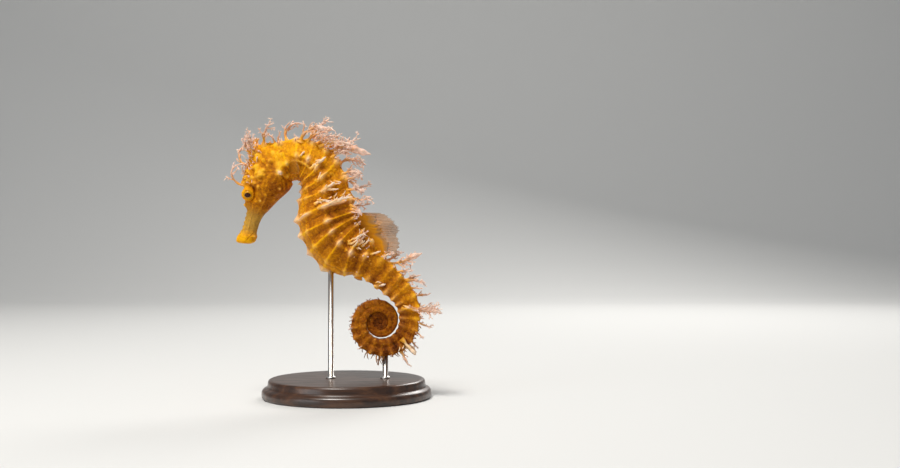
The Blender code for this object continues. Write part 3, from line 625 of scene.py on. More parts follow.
head_rows = np.linspace(-LIP, SHOULDER, HEAD_ROWS + 1)[:-1]
ring_counts = [TRUNK_RING_ROWS if i <= TRUNK_RINGS else TAIL_RING_ROWS if i < TIP_FROM_RING
               else TIP_RING_ROWS for i in range(len(JOINTS) - 1)]
body_rows = np.concatenate([ring_rows(*ends) for ends in zip(JOINTS, JOINTS[1:], ring_counts)])
rows = np.concatenate([head_rows, body_rows[body_rows < BODY_END - 0.12], [BODY_END - 0.02]])


def column_corners(s, count):
    """Signed corner numbers of the columns: even in corners on the trunk, even in angle on the tail."""
    turn = np.arange(count) / count * 2 - 1                 # -1 and 1 at the keel, 0 at the back
    u = np.abs(turn)
    even_angle = np.interp(180 * u, TAIL_ANGLES, np.arange(9.0))
    share = smooth(70, 80, s)
    return -np.sign(turn) * (8 * u + (even_angle - 8 * u) * share)


def skin_grid(s_rows, count):
    s = np.repeat(s_rows[:, None], count, 1)
    corners = np.stack([column_corners(row, count) for row in s_rows])
    points, out = plain_surface(s, corners)
    return s, corners, points, out


wide = rows < THIN_FROM
blocks = [skin_grid(rows[wide], COLUMNS), skin_grid(rows[~wide], COLUMNS // 2)]
print("rows:", len(rows), "points:", sum(block[0].size for block in blocks))

# %% [markdown]
# ## Carving the grid
# Every feature is a soft bump or furrow measured by its distance in space from a point or a line on the
# bare tube. To keep this quick, each one looks only at the rows close to it. The carver also keeps a
# note of what it did: the notes become attributes that the paint reads, so colour follows form.

# %% The carver
class Carver:
    def __init__(self, s, corners, points, out):
        self.s, self.corners, self.bare, self.out = s, corners, points, out
        self.height, self.crest, self.knob = relief(s, corners)
        self.pale = np.zeros_like(s)
        self.furrow = np.zeros_like(s)
        self.row_s = s[:, 0]

    def near(self, low, high, reach):
        first, last = np.searchsorted(self.row_s, (low - reach * 1.6, high + reach * 1.6))
        return slice(first, last)

    def bump(self, middle, s, radius, height, pale=0.0, sharp=1.6):
        """A cone-like bump with a rounded tip."""
        part = self.near(s, s, 2.6 * radius)
        far = np.linalg.norm(self.bare[part] - middle, axis=-1) / radius
        shape = np.exp(-far**sharp)
        self.height[part] += height * shape
        if pale:
            self.pale[part] = np.maximum(self.pale[part], pale * np.exp(-((far / 0.8) ** 2)))

    def line(self, course, sign, radius, height, pale=0.0, note=None):
        """A ridge, or a furrow where the height is below zero, that fades at both ends."""
        note = self.pale if note is None else note
        places = np.array(course)
        t = np.linspace(0, len(places) - 1, 6 * len(places))
        s = np.interp(t, range(len(places)), places[:, 0])
        lift = np.interp(t, range(len(places)), places[:, 1])
        part = self.near(s.min(), s.max(), 2.5 * radius)
        best = np.zeros_like(self.height[part])
        for k in range(len(t) - 1):
            a, b = flank_point(s[k], lift[k], sign), flank_point(s[k + 1], lift[k + 1], sign)
            along = np.clip((self.bare[part] - a) @ (b - a) / max((b - a) @ (b - a), 1e-6), 0, 1)
            far = np.linalg.norm(self.bare[part] - a - along[..., None] * (b - a), axis=-1)
            share = (k + along) / (len(t) - 1)
            fade = np.clip(np.minimum(share, 1 - share) * 5 + 0.25, 0, 1)
            best = np.maximum(best, fade * np.exp(-((far / radius) ** 2)))
        self.height[part] += height * best
        if height < 0:
            self.furrow[part] = np.maximum(self.furrow[part], best * min(1.0, -height / 0.3))
        else:
            note[part] = np.maximum(note[part], pale * best)

    def rise(self):
        """How much each point stands over the skin close around it."""
        near_by = self.height
        for axis, reach in ((0, 6), (1, 3)):
            near_by = sum(np.roll(near_by, k, axis) for k in range(-reach, reach + 1)) / (2 * reach + 1)
        return self.height - near_by


def side_measures(carver):
    """Height of each point over the middle line, on whichever flank it is."""
    middle, back, _ = frame_at(carver.s)
    return np.sum((carver.bare - middle) * back, axis=-1)


print("carver is ready")

# %% Spines, ridges and the gill cover
def carve_head(carver):
    for _, s, lift, radius, height, pale in SPINES:
        top = lift > half_sizes(np.array(s))[0] * 0.93
        for sign in ((1,) if top else (1, -1)):
            carver.bump(flank_point(s, lift, sign), s, radius, height, pale)
    for sign in (1, -1):
        for _, course, radius, height, pale in HEAD_RIDGES:
            carver.line(course, sign, radius, height, pale)
        for _, course, radius, depth in FURROWS:
            carver.line(course, sign, radius, -depth)
    part = carver.near(14, 25, 1)
    lift = side_measures(carver)[part]
    s = carver.s[part]
    inside = ((s - GILL_MIDDLE[0]) / GILL_REACH[0]) ** 2 + ((lift - GILL_MIDDLE[1]) / GILL_REACH[1]) ** 2
    plate = smooth(1.15, 0.75, inside) * smooth(2.2, 3.2, np.abs(carver.corners[part]))
    struck = np.arctan2(lift - GILL_HINGE[1], s - GILL_HINGE[0])
    from_hinge = np.hypot(lift - GILL_HINGE[1], s - GILL_HINGE[0])
    rays = 0.5 + 0.5 * np.cos(struck * GILL_RAYS + 1.2 * np.sin(from_hinge * 0.7))
    clear = smooth(0.8, 2.6, from_hinge)            # close to the hinge the rays run together
    carver.height[part] += plate * (GILL_LIFT + GILL_RAY_HEIGHT * rays * clear)
    # the furrow noted between the rays becomes painted shade in the skin's paint
    carver.furrow[part] = np.maximum(carver.furrow[part], 0.16 * plate * (1 - rays) * clear)


def scatter(carver, count, low, high, corner_low, corner_high, radii, heights, pale):
    """Small warts, thrown over a stretch of body with the fixed seed."""
    for _ in range(count):
        s = rng.uniform(low, high)
        corner = rng.uniform(corner_low, corner_high) * rng.choice((-1, 1))
        size = rng.random() ** 1.6
        middle, _ = plain_surface(s, corner)
        carver.bump(middle, s, radii[0] + (radii[1] - radii[0]) * size,
                    heights[0] + (heights[1] - heights[0]) * size, pale * size, 1.9)


front, hind = (Carver(*block) for block in blocks)
carve_head(front)
for s, start, end, radius, bright in CREST_STREAKS:
    course = [(crest_place(s, c), section(crest_place(s, c), c)[0]) for c in np.linspace(start, end, 5)]
    for sign in (1, -1):
        front.line(course, sign, radius, 0.6 * radius, bright, front.knob)
scatter(front, 120, 17.0, 29.5, 0.3, 3.8, (0.30, 0.78), (0.16, 0.66), 0.6)    # the crown's crowd
scatter(front, 70, 12.5, 24.5, 3.0, 7.4, (0.16, 0.34), (0.05, 0.18), 0.5)
for s in (2.4, 3.9, 5.3, 6.8, 8.2):                                        # bumps down the snout's bridge
    front.bump(plain_surface(s, 0.0)[0], s, 0.36, 0.3, 0.4)
scatter(front, 46, 0.5, 11.0, 0.5, 7.5, (0.2, 0.32), (0.04, 0.12), 0.25)
scatter(front, 110, 29.0, 46.0, 0.3, 5.0, (0.24, 0.5), (0.08, 0.34), 0.6)
scatter(front, 520, SHOULDER, 79.0, 0.6, 7.8, (0.16, 0.36), (0.05, 0.24), 0.6)
scatter(hind, 330, 80.0, 128.0, 0.6, 7.4, (0.16, 0.34), (0.05, 0.2), 0.6)
print("relief from", round(float(front.height.min()), 2), "to", round(float(front.height.max()), 2), "mm")

# %% [markdown]
# ## The eye turrets and the root of the back fin
# A seahorse's eye sits in a small round turret of skin that swivels by itself, like a chameleon's. The
# grid around it is pulled out over a ball: inside the lid it dips behind the eyeball, then it rolls over
# a thick rim, and farther out it returns to the cheek. Along the back, the fin's rays spring from a
# fleshy ridge, so the middle of the back is raised there.

# %% Turrets and fin ridge
EYE_PLACE = (14.2, 3.55, 2.45)          # along, up toward the brow, and out to the side
EYE_RADIUS = 1.75
LID_OPENING = 49.0                      # degrees from the gaze to the lid's edge
GAZE = (0.03, -1.0, -0.25)              # the left eye looks out, and a little down
TURRET_REACH, TURRET_WRAP = 3.5, 118    # mm of skin that take part, and degrees that they wrap round
TURRET_FOLDS, FOLD_HEIGHT = 9, 0.045
DORSAL_ROOT = (57.3, 79.3)
FIN_RIDGE_HEIGHT, FIN_RIDGE_WIDTH = 1.15, 0.62
CHIN_SET_BACK = 0.33


def place(s, up, side):
    middle, back, _ = frame_at(np.array(float(s)))
    return middle + back * up + np.array([0.0, side, 0.0])


def gaze(sign):
    way = np.array([GAZE[0], GAZE[1] * sign, GAZE[2]])
    return way / np.linalg.norm(way)


def lid_radius(degrees):
    """How far the skin stands from the eye's middle, going round from the gaze."""
    rim = (LID_OPENING + step for step in (-8, -2, 1.5, 8, 18))
    radii = (1.45, 1.5, 1.62, 1.93, 2.16, 2.17, 2.12, 2.05)
    return through((0, *rim, 90, 130), radii, degrees)


def raise_turret(points, sign):
    """The points with the turret of one side pulled out, and how much of each is lid."""
    centre = place(EYE_PLACE[0], EYE_PLACE[1], -sign * EYE_PLACE[2])
    axis = gaze(sign)
    nearest = flank_point(EYE_PLACE[0], EYE_PLACE[1], sign)
    from_middle = points - nearest
    far = np.linalg.norm(from_middle, axis=-1) / TURRET_REACH
    sideways = from_middle - (from_middle @ axis)[..., None] * axis
    sideways /= np.maximum(np.linalg.norm(sideways, axis=-1, keepdims=True), 1e-6)
    turn = np.radians(TURRET_WRAP * np.clip(far, 0, 1) ** 0.92)
    degrees = np.degrees(turn)
    clock = np.arctan2(sideways[..., 2], sideways[..., 0])
    folds = FOLD_HEIGHT * np.cos(TURRET_FOLDS * clock + 2.0 * np.sin(2 * clock))
    reach = lid_radius(degrees) + folds * smooth(LID_OPENING, 70, degrees)
    ball = centre + reach[..., None] * (np.cos(turn)[..., None] * axis + np.sin(turn)[..., None] * sideways)
    share = (1 - smooth(0.66, 1.0, far)) * (sign * points[..., 1] < 0.4)
    lid = np.exp(-(((degrees - LID_OPENING - 9) / 8) ** 2)) * (far < 1)
    return points + (ball - points) * share[..., None], lid * share


def shaped(carver):
    """The carved grid in space, with the ridge under the back fin and the chin set back."""
    ridge = smooth(DORSAL_ROOT[0] - 3, DORSAL_ROOT[0] + 2, carver.s)
    ridge = ridge * smooth(DORSAL_ROOT[1] + 2, DORSAL_ROOT[1] - 2, carver.s)
    fleshy = ridge * np.exp(-((np.abs(carver.corners) / FIN_RIDGE_WIDTH) ** 2))
    points = carver.bare + carver.out * (carver.height + FIN_RIDGE_HEIGHT * fleshy)[..., None]
    middle, back, along = frame_at(carver.s)        # the chin is shorter than the upper lip
    below = half_sizes(carver.s)[0] - np.sum((points - middle) * back, -1)
    return points + along * (CHIN_SET_BACK * below * smooth(5.0, -LIP, carver.s))[..., None]


front_points, hind_points = shaped(front), shaped(hind)
front_lid = np.zeros_like(front.s)
for sign in (1, -1):
    front_points, lid = raise_turret(front_points, sign)
    front_lid = np.maximum(front_lid, lid)
beside_eye = front.near(EYE_PLACE[0], EYE_PLACE[0], EYE_RADIUS)
print("turrets stand out to", round(float(np.abs(front_points[beside_eye, :, 1]).max()), 2), "mm")

# %% [markdown]
# ## Sewing the skin
# The mouth is small and toothless: a short slit at the end of the flared snout. A few more rows roll
# over the lips and back into the throat, and a last point closes the bottom. The tail's tip closes the
# same way. The unwrap that the mane's own map refers to is simple: along the body, and round it.

# %% Rows inside the mouth
MOUTH_ROWS = (                          # forward of the lips' edge, height share, width share
    (0.22, 0.965, 0.965), (0.38, 0.88, 0.89), (0.44, 0.74, 0.79), (0.40, 0.57, 0.69),
    (0.28, 0.40, 0.60), (0.06, 0.26, 0.53), (-0.25, 0.17, 0.48), (-0.7, 0.14, 0.44), (-1.1, 0.08, 0.2),
)


def mouth_rows():
    middle, back, along = frame_at(np.array(-LIP))
    lips = front_points[0] - middle
    lift, lateral, set_back = lips @ back, lips[:, 1], lips @ along
    made = []
    for forward, tall, wide_share in MOUTH_ROWS:
        jut = forward - 0.12 * lift / 2.7 + 0.10 * (lateral / 2.0) ** 2 * (-1 if forward > 0.3 else 0)
        made.append(middle + np.outer(set_back * tall - jut, along)
                    + np.outer(lift * tall - 0.12 * (1 - tall), back)
                    + np.outer(lateral * wide_share, (0.0, 1.0, 0.0)))
    return made


mouth = mouth_rows()
print("mouth:", round(float(np.ptp(mouth[6][:, 1])), 2), "mm wide inside the lips")

# %% The mesh of the skin
def coil_pole():
    """The point that the spiral winds round. The tail's tip ends on it, so that the coil is closed."""
    point, back, along = frame_at(np.array(BODY_END))
    radius = COIL_RADIUS - COIL_TIGHTENING * (BODY_END - COIL_START)
    return point + radius * (along * COIL_TIGHTENING - back) / (1 + COIL_TIGHTENING**2)


def sewn_skin():
    """Points and faces of the whole skin, and for each face its corners as shares round the body."""
    points = [*mouth[::-1], *front_points, *hind_points]
    counts = [len(row) for row in points]
    starts = np.concatenate([[0], np.cumsum(counts)])
    faces, columns = [], []
    for r in range(len(points) - 1):
        a, b, n, m = starts[r], starts[r + 1], counts[r], counts[r + 1]
        for k in range(m):
            j = (k + 1) % m
            if n == m:
                faces.append((a + k, b + k, b + j, a + j))
                columns.append((k / n, k / n, (k + 1) / n, (k + 1) / n))
            else:                        # two columns of the trunk run into one of the tail
                left, mid, right = 2 * k, 2 * k + 1, (2 * k + 2) % n
                faces += [(a + left, b + k, a + mid), (a + mid, b + k, b + j, a + right)]
                columns += [(k / m, k / m, (k + 0.5) / m),
                            ((k + 0.5) / m, k / m, (k + 1) / m, (k + 1) / m)]
    hubs = (points[0].mean(0), coil_pole() + frame_at(np.array(BODY_END))[2] * 0.2)
    for hub, start, n, at_mouth in ((starts[-1], 0, counts[0], True),
                                    (starts[-1] + 1, starts[-2], counts[-1], False)):
        for k in range(n):
            face = (start + (k + 1) % n, start + k, hub)
            column = ((k + 1) / n, k / n, (k + 0.5) / n)
            faces.append(face[::-1] if at_mouth else face)
            columns.append(column[::-1] if at_mouth else column)
    return np.vstack([*points, hubs]), faces, columns


skin_points, skin_faces, skin_columns = sewn_skin()
skin = mesh_object("seahorse_skin", skin_points, skin_faces)


def by_point(front_values, hind_values, mouth_value=0.0):
    return np.concatenate([np.full(len(mouth) * COLUMNS, mouth_value), front_values.ravel(),
                           hind_values.ravel(), [mouth_value, float(hind_values[-1].mean())]])


skin_s = by_point(front.s, hind.s, -LIP)
unwrap = skin.data.uv_layers.new(name="OFBake")
corner_of_loop = np.empty(len(skin.data.loops), np.int32)
skin.data.loops.foreach_get("vertex_index", corner_of_loop)
uv = np.stack([(skin_s[corner_of_loop] + LIP) / (BODY_END + LIP),
               np.concatenate([np.array(c) for c in skin_columns])], -1)
unwrap.data.foreach_set("uv", uv.astype(np.float32).ravel())
volume = sum(face.normal.y * face.center.y * face.area for face in skin.data.polygons) / MM**3
print("skin:", sum(len(f) - 2 for f in skin_faces), "triangles,", "outward" if volume > 0 else "INWARD",
      "round", round(volume), "cubic mm")

# %% [markdown]
# ## Where the skin is bright and where it is dark
# The animal is golden, and its gold is not even. The crown, nape and back are bright yellow. The gill cover
# and the throat are a deep burnt orange, partly their own colour and partly painted shade. Painted light and
# shade lie over the whole: the colour rises toward the back as under a lamp above, the lower flanks carry
# painted shade above a keel lightened as painted fill light, the coil darkens to its centre partly as painted
# shade, and raised points are lightened and hollows darkened. One number for each point holds this broad
# tone with its painted light and shade, drawn with soft patches, and the paint adds the mottling.

# %% Broad tones, with painted light and shade
# The values along the body are the animal's own colour. Their fall toward the coil's centre is partly the
# tail's own darker colour and partly painted shade in the depth of the coil.
TONE_AND_SHADE_ALONG = (                          # place along the body, and the tone there
    (-1, .72), (3, .62), (9, .53), (14, .60), (20, .62), (27, .76), (34, .78), (45, .62), (60, .51),
    (72, .47), (80, .50), (92, .56), (100, .46), (107, .26), (112, .25), (122, .40), (138, .35),
    (150, .29), (160, .19), (170, .08),
)
# Soft patches of colour. The darker lower head, throat and jaw are partly their own burnt orange and partly
# painted shade. The dark band behind the head is painted shade along the collar. The lightened snout tip is
# painted light on a face that looks down.
TONE_AND_SHADE_PATCHES = (                        # along, above the middle line, reach along, reach up, amount
    (18.6, -2.7, 4.6, 2.9, -0.17), (12.4, -3.0, 2.6, 1.8, -0.12), (22.2, -6.0, 3.4, 2.6, -0.08),
    (17.0, 2.0, 1.7, 1.3, -0.14), (21.8, 3.2, 1.4, 1.1, 0.22), (14.1, 4.4, 2.4, 2.6, 0.16),
    (25.0, 0.6, 1.1, 2.6, -0.15), (34.5, -3.4, 4.0, 1.6, -0.16), (54.8, 5.0, 3.6, 3.6, -0.17),
    (68.0, -5.5, 6.0, 3.0, 0.08), (27.4, -0.9, 2.4, 1.6, 0.2), (98.0, 1.6, 6.0, 2.0, 0.16),
    (36.0, -6.4, 6.0, 2.2, -0.12), (50.0, 6.6, 9.0, 3.0, -0.06), (4.5, 2.4, 5.5, 1.3, 0.16),
    (-0.6, 0.0, 2.0, 3.4, 0.3),
)


def tone_and_shade_of(carver):
    s, lift = carver.s, side_measures(carver)
    up, down, _ = half_sizes(s)
    high = np.where(lift > 0, lift / up, lift / down)               # 1 at the back, -1 at the keel
    # painted top light and shade: the colour is lifted toward the back and lowered toward the belly, as a lamp
    # above would light it
    tone_and_shade = np.interp(s, *zip(*TONE_AND_SHADE_ALONG)) + 0.10 * high * smooth(12, 16, s) * smooth(112, 100, s)
    for place_on, above, reach_along, reach_up, amount in TONE_AND_SHADE_PATCHES:
        tone_and_shade += amount * np.exp(-(((s - place_on) / reach_along) ** 2) - ((lift - above) / reach_up) ** 2)
    # painted fill light: the lower flank beside the keel faces down, away from the lamp, and is lightened as
    # if lit from below
    tone_and_shade += 0.30 * smooth(-0.45, -0.9, high) * smooth(40, 50, s) * smooth(84, 76, s)    # the keel
    # painted light and shade: points that stand above the skin around them are lightened, and hollows are
    # darkened
    tone_and_shade += 0.8 * np.clip(carver.rise(), -0.25, 0.3) * smooth(140, 110, s)
    return np.clip(tone_and_shade, 0.03, 1.0)


for name, on_front, on_hind, in_mouth in (
        ("tone_and_shade", tone_and_shade_of(front), tone_and_shade_of(hind), 0.9), ("crest", front.crest, hind.crest, 0.0),
        ("knob", front.knob, hind.knob, 0.0), ("pale", front.pale, hind.pale, 0.0),
        ("furrow", front.furrow, hind.furrow, 0.0), ("lid", front_lid, np.zeros_like(hind.s), 0.0)):
    write_values(skin, name, by_point(on_front, on_hind, in_mouth))
depth_in_mouth = np.zeros(len(skin_points))
depth_in_mouth[:len(mouth) * COLUMNS] = np.repeat(np.linspace(1, 0, len(mouth)), COLUMNS)
write_values(skin, "inside", depth_in_mouth)
write_values(skin, "wan", smooth(-0.6, 5.0, skin_s) * smooth(11.8, 7.0, skin_s))
print("attributes:", [a.name for a in skin.data.attributes if a.data_type == "FLOAT"])

# %% [markdown]
# ## The skin's paint
# Real skin gets its gold from pigment cells that cluster in blotches and specks. The paint does the
# same with noises of three sizes over the broad tone, lightens the crests, and turns the tips of knobs
# to the pale peach of the mane. It darkens the furrows and the inside of the mouth as painted shade. A
# faint leathery bump and a little light under the surface finish it.

# %% Skin material
PEACH, STRAW = (0.90, 0.59, 0.38), (0.98, 0.58, 0.10)
DEEP, BURNT, AMBER = (0.06, 0.012, 0.0003), (0.21, 0.048, 0.0004), (0.44, 0.137, 0.0005)
GOLD, YELLOW = (0.75, 0.290, 0.0008), (0.98, 0.480, 0.002)


def golden_skin():
    f = Finish("golden_skin", 0.5, IOR=1.19, Subsurface_Weight=0.12, Subsurface_Scale=0.001)
    f.shader.inputs["Subsurface Radius"].default_value = (1.0, 0.4, 0.05)
    blotch, speck, grain = f.noise(420, 4), f.noise(1500, 3, 0.6), f.noise(5200, 2)
    tone_and_shade = f.value("tone_and_shade")
    for noise, amount in ((blotch, 0.6), (speck, 0.7), (grain, 0.4)):
        tone_and_shade = f.unsettle(tone_and_shade, noise, amount)
    lightened = f.maths("MULTIPLY", f.value("crest"), f.span(blotch, 0.35, 0.65, 0.2, 0.5))
    tone_and_shade = f.maths("ADD", tone_and_shade, lightened)
    tone_and_shade = f.maths("ADD", tone_and_shade, f.maths("MULTIPLY", f.value("knob"), 0.25))
    tone_and_shade = f.maths("ADD", tone_and_shade, f.maths("MULTIPLY", f.value("lid"), 0.05))
    # painted shade in the furrows and creases, and between the gill cover's rays
    tone_and_shade = f.maths("SUBTRACT", tone_and_shade, f.maths("MULTIPLY", f.value("furrow"), 0.3))
    colour = f.ramp(tone_and_shade, (0.0, DEEP), (0.22, BURNT), (0.48, AMBER), (0.75, GOLD), (1.0, YELLOW))
    tips = f.maths("POWER", f.value("knob"), 1.3)
    colour = f.mix(f.maths("MULTIPLY", f.value("wan"), 0.55), colour, (0.46, 0.33, 0.075))
    colour = f.mix(f.maths("POWER", f.value("pale"), 1.5, clamp=True), colour, STRAW)
    colour = f.mix(f.span(f.value("pale"), 0.9, 1.25), colour, PEACH)
    colour = f.mix(f.maths("MULTIPLY", tips, f.span(blotch, 0.3, 0.5, 0.55, 1.0), clamp=True), colour, PEACH)
    fleck = f.span(f.cells(1150), 0.16, 0.08, 0.0, 0.5)
    colour = f.mix(f.maths("MULTIPLY", fleck, f.span(speck, 0.5, 0.62)), colour, (0.92, 0.62, 0.18))
    # painted shade: the rows inside the mouth darken to near black
    colour = f.mix(f.span(f.value("inside"), 0.42, 0.75), colour, (0.03, 0.006, 0.002))
    f.paint("Base Color", colour)
    leather = f.maths("ADD", f.maths("MULTIPLY", f.cells(2600), 0.6), grain)
    f.paint("Normal", f.bump(leather, 0.00018, 0.8, f.bump(speck, 0.0006, 0.6)))
    f.paint("Roughness", f.span(speck, 0.3, 0.7, 0.38, 0.56))
    return f.material


skin.data.materials.append(golden_skin())
FLESH_NODES = ("snout", "head", "neck", "trunk_upper", "trunk_lower", "tail_root", "tail_shaft",
               "tail_coil_right", "tail_coil_left", "tail_coil_inner", "tail_tip")
dress(skin, "skin", *FLESH_NODES)
print("skin stands for", len(FLESH_NODES), "lengths of body")

# %% [markdown]
# ## The eyes
# Each eyeball is a true sphere, as deep as it is wide. The iris is gold with darker spokes and a fine
# bright rim round the pupil. The pupil is a dark oval, longer fore and aft than it is tall. A clear coat
# over everything stands for the cornea.

# %% Eyeballs
def eyeball(name, sign):
    centre = place(EYE_PLACE[0], EYE_PLACE[1], -sign * EYE_PLACE[2])
    axis = gaze(sign)
    level = np.cross(axis, (0.0, 0.0, 1.0))
    level /= np.linalg.norm(level)
    upright = np.cross(level, axis)
    around, down = 72, 48
    clock = np.arange(around) * 2 * math.pi / around
    flat = np.outer(np.cos(clock), level) + np.outer(np.sin(clock), upright)
    points = [centre + axis * EYE_RADIUS]
    for r in range(1, down):
        polar = math.pi * r / down
        points += list(centre + EYE_RADIUS * (math.cos(polar) * axis + math.sin(polar) * flat))
    points.append(centre - axis * EYE_RADIUS)
    ball = mesh_object(name, points, capped_rings(down - 1, around))
    face_outward(ball)
    offset = np.array(points) - centre
    write_values(ball, "fore", offset @ level)
    write_values(ball, "rise", offset @ upright)
    return ball


IRIS_SPOKES = 22.0
PUPIL_LENGTH, PUPIL_HEIGHT = 0.98, 0.76             # half of each, in mm


def eye_finish():
    f = Finish("golden_eye", 0.3, Coat_Weight=0.3, Coat_Roughness=0.03, Coat_IOR=1.33, IOR=1.25)
    fore, rise = f.value("fore"), f.value("rise")
    pupil = f.add("ShaderNodeVectorMath", {0: f.add("ShaderNodeCombineXYZ", {
        0: f.maths("DIVIDE", fore, PUPIL_LENGTH), 1: f.maths("DIVIDE", rise, PUPIL_HEIGHT)})},
        "Value", operation="LENGTH")
    around = f.maths("ARCTAN2", rise, fore)
    spoke = f.maths("SINE", f.maths("ADD", f.maths("MULTIPLY", around, IRIS_SPOKES),
                                    f.maths("MULTIPLY", f.noise(900, 2), 9.0)))
    ring = f.ramp(f.maths("MULTIPLY", pupil, 0.4), (0.0, (0.8, 0.4, 0.02)), (0.42, (0.90, 0.48, 0.02)),
                  (0.48, (0.62, 0.27, 0.003)), (0.66, (0.72, 0.33, 0.005)), (0.8, (0.20, 0.05, 0.001)))
    colour = f.mix(f.span(spoke, 0.1, 0.9, 0.0, 0.6), ring, (0.26, 0.07, 0.002))
    colour = f.mix(f.span(pupil, 1.1, 0.98), colour, (0.040, 0.007, 0.001))
    f.paint("Base Color", colour)
    return f.material


eye_material = eye_finish()
for name, node, sign in (("eyeball_left", "eye_left", 1), ("eyeball_right", "eye_right", -1)):
    ball = eyeball(name, sign)
    ball.data.materials.append(eye_material)
    dress(ball, "eye", node)
print("eyeballs:", 2 * EYE_RADIUS, "mm across")

# %% [markdown]
# ## One machine for everything that grows in strands
# Mane fronds, filaments and fin rays are all thin tapering strands. Each is drawn as a line of points
# that carries its own thickness. One Geometry Nodes tree then sweeps a small circle along every line at
# once, closes the ends, and gives the result its paint. The lines stay cheap to change, and the sweep
# is the same for all of them.

# %% The strand machine
def strand_tree():
    """The sweep as a node tree, and the identifiers of its two inputs."""
    tree = bpy.data.node_groups.new("strand_sweep", "GeometryNodeTree")
    tree.is_modifier = True
    tree.interface.new_socket("Geometry", in_out="INPUT", socket_type="NodeSocketGeometry")
    sides = tree.interface.new_socket("Sides", in_out="INPUT", socket_type="NodeSocketInt")
    sides.default_value, sides.min_value = 6, 3
    paint = tree.interface.new_socket("Paint", in_out="INPUT", socket_type="NodeSocketMaterial")
    tree.interface.new_socket("Geometry", in_out="OUTPUT", socket_type="NodeSocketGeometry")
    nodes, link = tree.nodes, tree.links.new
    entry, leave = nodes.new("NodeGroupInput"), nodes.new("NodeGroupOutput")
    to_curve, thick = nodes.new("GeometryNodeMeshToCurve"), nodes.new("GeometryNodeInputNamedAttribute")
    thick.data_type = "FLOAT"
    thick.inputs["Name"].default_value = "thick"
    radius, circle = nodes.new("GeometryNodeSetCurveRadius"), nodes.new("GeometryNodeCurvePrimitiveCircle")
    circle.inputs["Radius"].default_value = 1.0
    sweep, realize = nodes.new("GeometryNodeCurveToMesh"), nodes.new("GeometryNodeRealizeInstances")
    sweep.inputs["Fill Caps"].default_value = True
    smoothing, paint_all = nodes.new("GeometryNodeSetShadeSmooth"), nodes.new("GeometryNodeSetMaterial")
    link(entry.outputs["Geometry"], to_curve.inputs["Mesh"])
    link(to_curve.outputs["Curve"], radius.inputs["Curve"])
    link(thick.outputs["Attribute"], radius.inputs["Radius"])
    link(entry.outputs["Sides"], circle.inputs["Resolution"])
    link(radius.outputs["Curve"], sweep.inputs["Curve"])
    link(circle.outputs["Curve"], sweep.inputs["Profile Curve"])
    if "Scale" in sweep.inputs:
        link(thick.outputs["Attribute"], sweep.inputs["Scale"])
    link(sweep.outputs["Mesh"], smoothing.inputs["Geometry"])
    link(smoothing.outputs["Geometry"], realize.inputs["Geometry"])
    link(realize.outputs["Geometry"], paint_all.inputs["Geometry"])
    link(entry.outputs["Paint"], paint_all.inputs["Material"])
    link(paint_all.outputs["Geometry"], leave.inputs["Geometry"])
    return tree, sides.identifier, paint.identifier


STRANDS, SIDES_SOCKET, PAINT_SOCKET = strand_tree()
print("strand machine:", len(STRANDS.nodes), "nodes")


# %% From strands to a piece with its map
def sweep(name, strands, sides, material):
    """strands: (points, thicknesses, values from root to tip, root's place on the unwrap)."""
    points = np.vstack([s[0] for s in strands]) * MM
    edges, start = [], 0
    for strand in strands:
        edges += [(start + k, start + k + 1) for k in range(len(strand[0]) - 1)]
        start += len(strand[0])
    mesh = bpy.data.meshes.new(name)
    mesh.from_pydata(points.tolist(), edges, [])
    lines = put(name, mesh)
    write_values(lines, "thick", np.concatenate([s[1] for s in strands]) * MM)
    write_values(lines, "growth", np.concatenate([s[2] for s in strands]))
    for axis, k in (("root_u", 0), ("root_v", 1)):
        write_values(lines, axis, np.concatenate([np.full(len(s[0]), s[3][k]) for s in strands]))
    machine = lines.modifiers.new("sweep", "NODES")
    machine.node_group = STRANDS
    machine[SIDES_SOCKET] = sides
    machine[PAINT_SOCKET] = material
    graph = bpy.context.evaluated_depsgraph_get()
    swept = bpy.data.meshes.new_from_object(lines.evaluated_get(graph))
    bpy.data.objects.remove(lines)
    return put(name, swept)


MAP_PATCH = 0.003                       # for each strand, of the bake map's width


def patch_map(piece):
    """A small patch of the bake map for each strand, at its root's place on the skin's unwrap."""
    mesh = piece.data
    read = {}
    for name in ("growth", "root_u", "root_v"):
        read[name] = np.empty(len(mesh.vertices), np.float32)
        mesh.attributes[name].data.foreach_get("value", read[name])
    for old in list(mesh.uv_layers):
        mesh.uv_layers.remove(old)
    layer = mesh.uv_layers.new(name="OFBake")
    vertex = np.empty(len(mesh.loops), np.int32)
    mesh.loops.foreach_get("vertex_index", vertex)
    place_in_turn = np.arange(len(vertex)) % 4 / 4
    uv = np.stack([read["root_u"][vertex] + MAP_PATCH * (read["growth"][vertex] - 0.5),
                   read["root_v"][vertex] + MAP_PATCH * (place_in_turn - 0.4)], -1)
    layer.data.foreach_set("uv", np.clip(uv, 0, 1).astype(np.float32).ravel())


def root_on_map(s, corner):
    """Where a root sits on the skin's unwrap: along the body, and round it."""
    turn = abs(corner) / 16 if corner < 0 else 1 - abs(corner) / 16
    return ((s + LIP) / (BODY_END + LIP), turn)


print("on the map, the nape of the neck is at", np.round(root_on_map(30.0, 0.5), 2))

# %% [markdown]
# ## The mane
# The largest fronds stand where the solids have theirs, and bend much as they do. Each is a soft branched
# stalk: thick and yellow where it leaves the skin, then knotted, forked, and pale pink at the tips. Twigs
# leave on alternate sides, curl as they go, and carry smaller twigs. Between the large fronds grow
# hundreds of short filaments: on the crown, on the knobs of the back ridges, and round the coil.

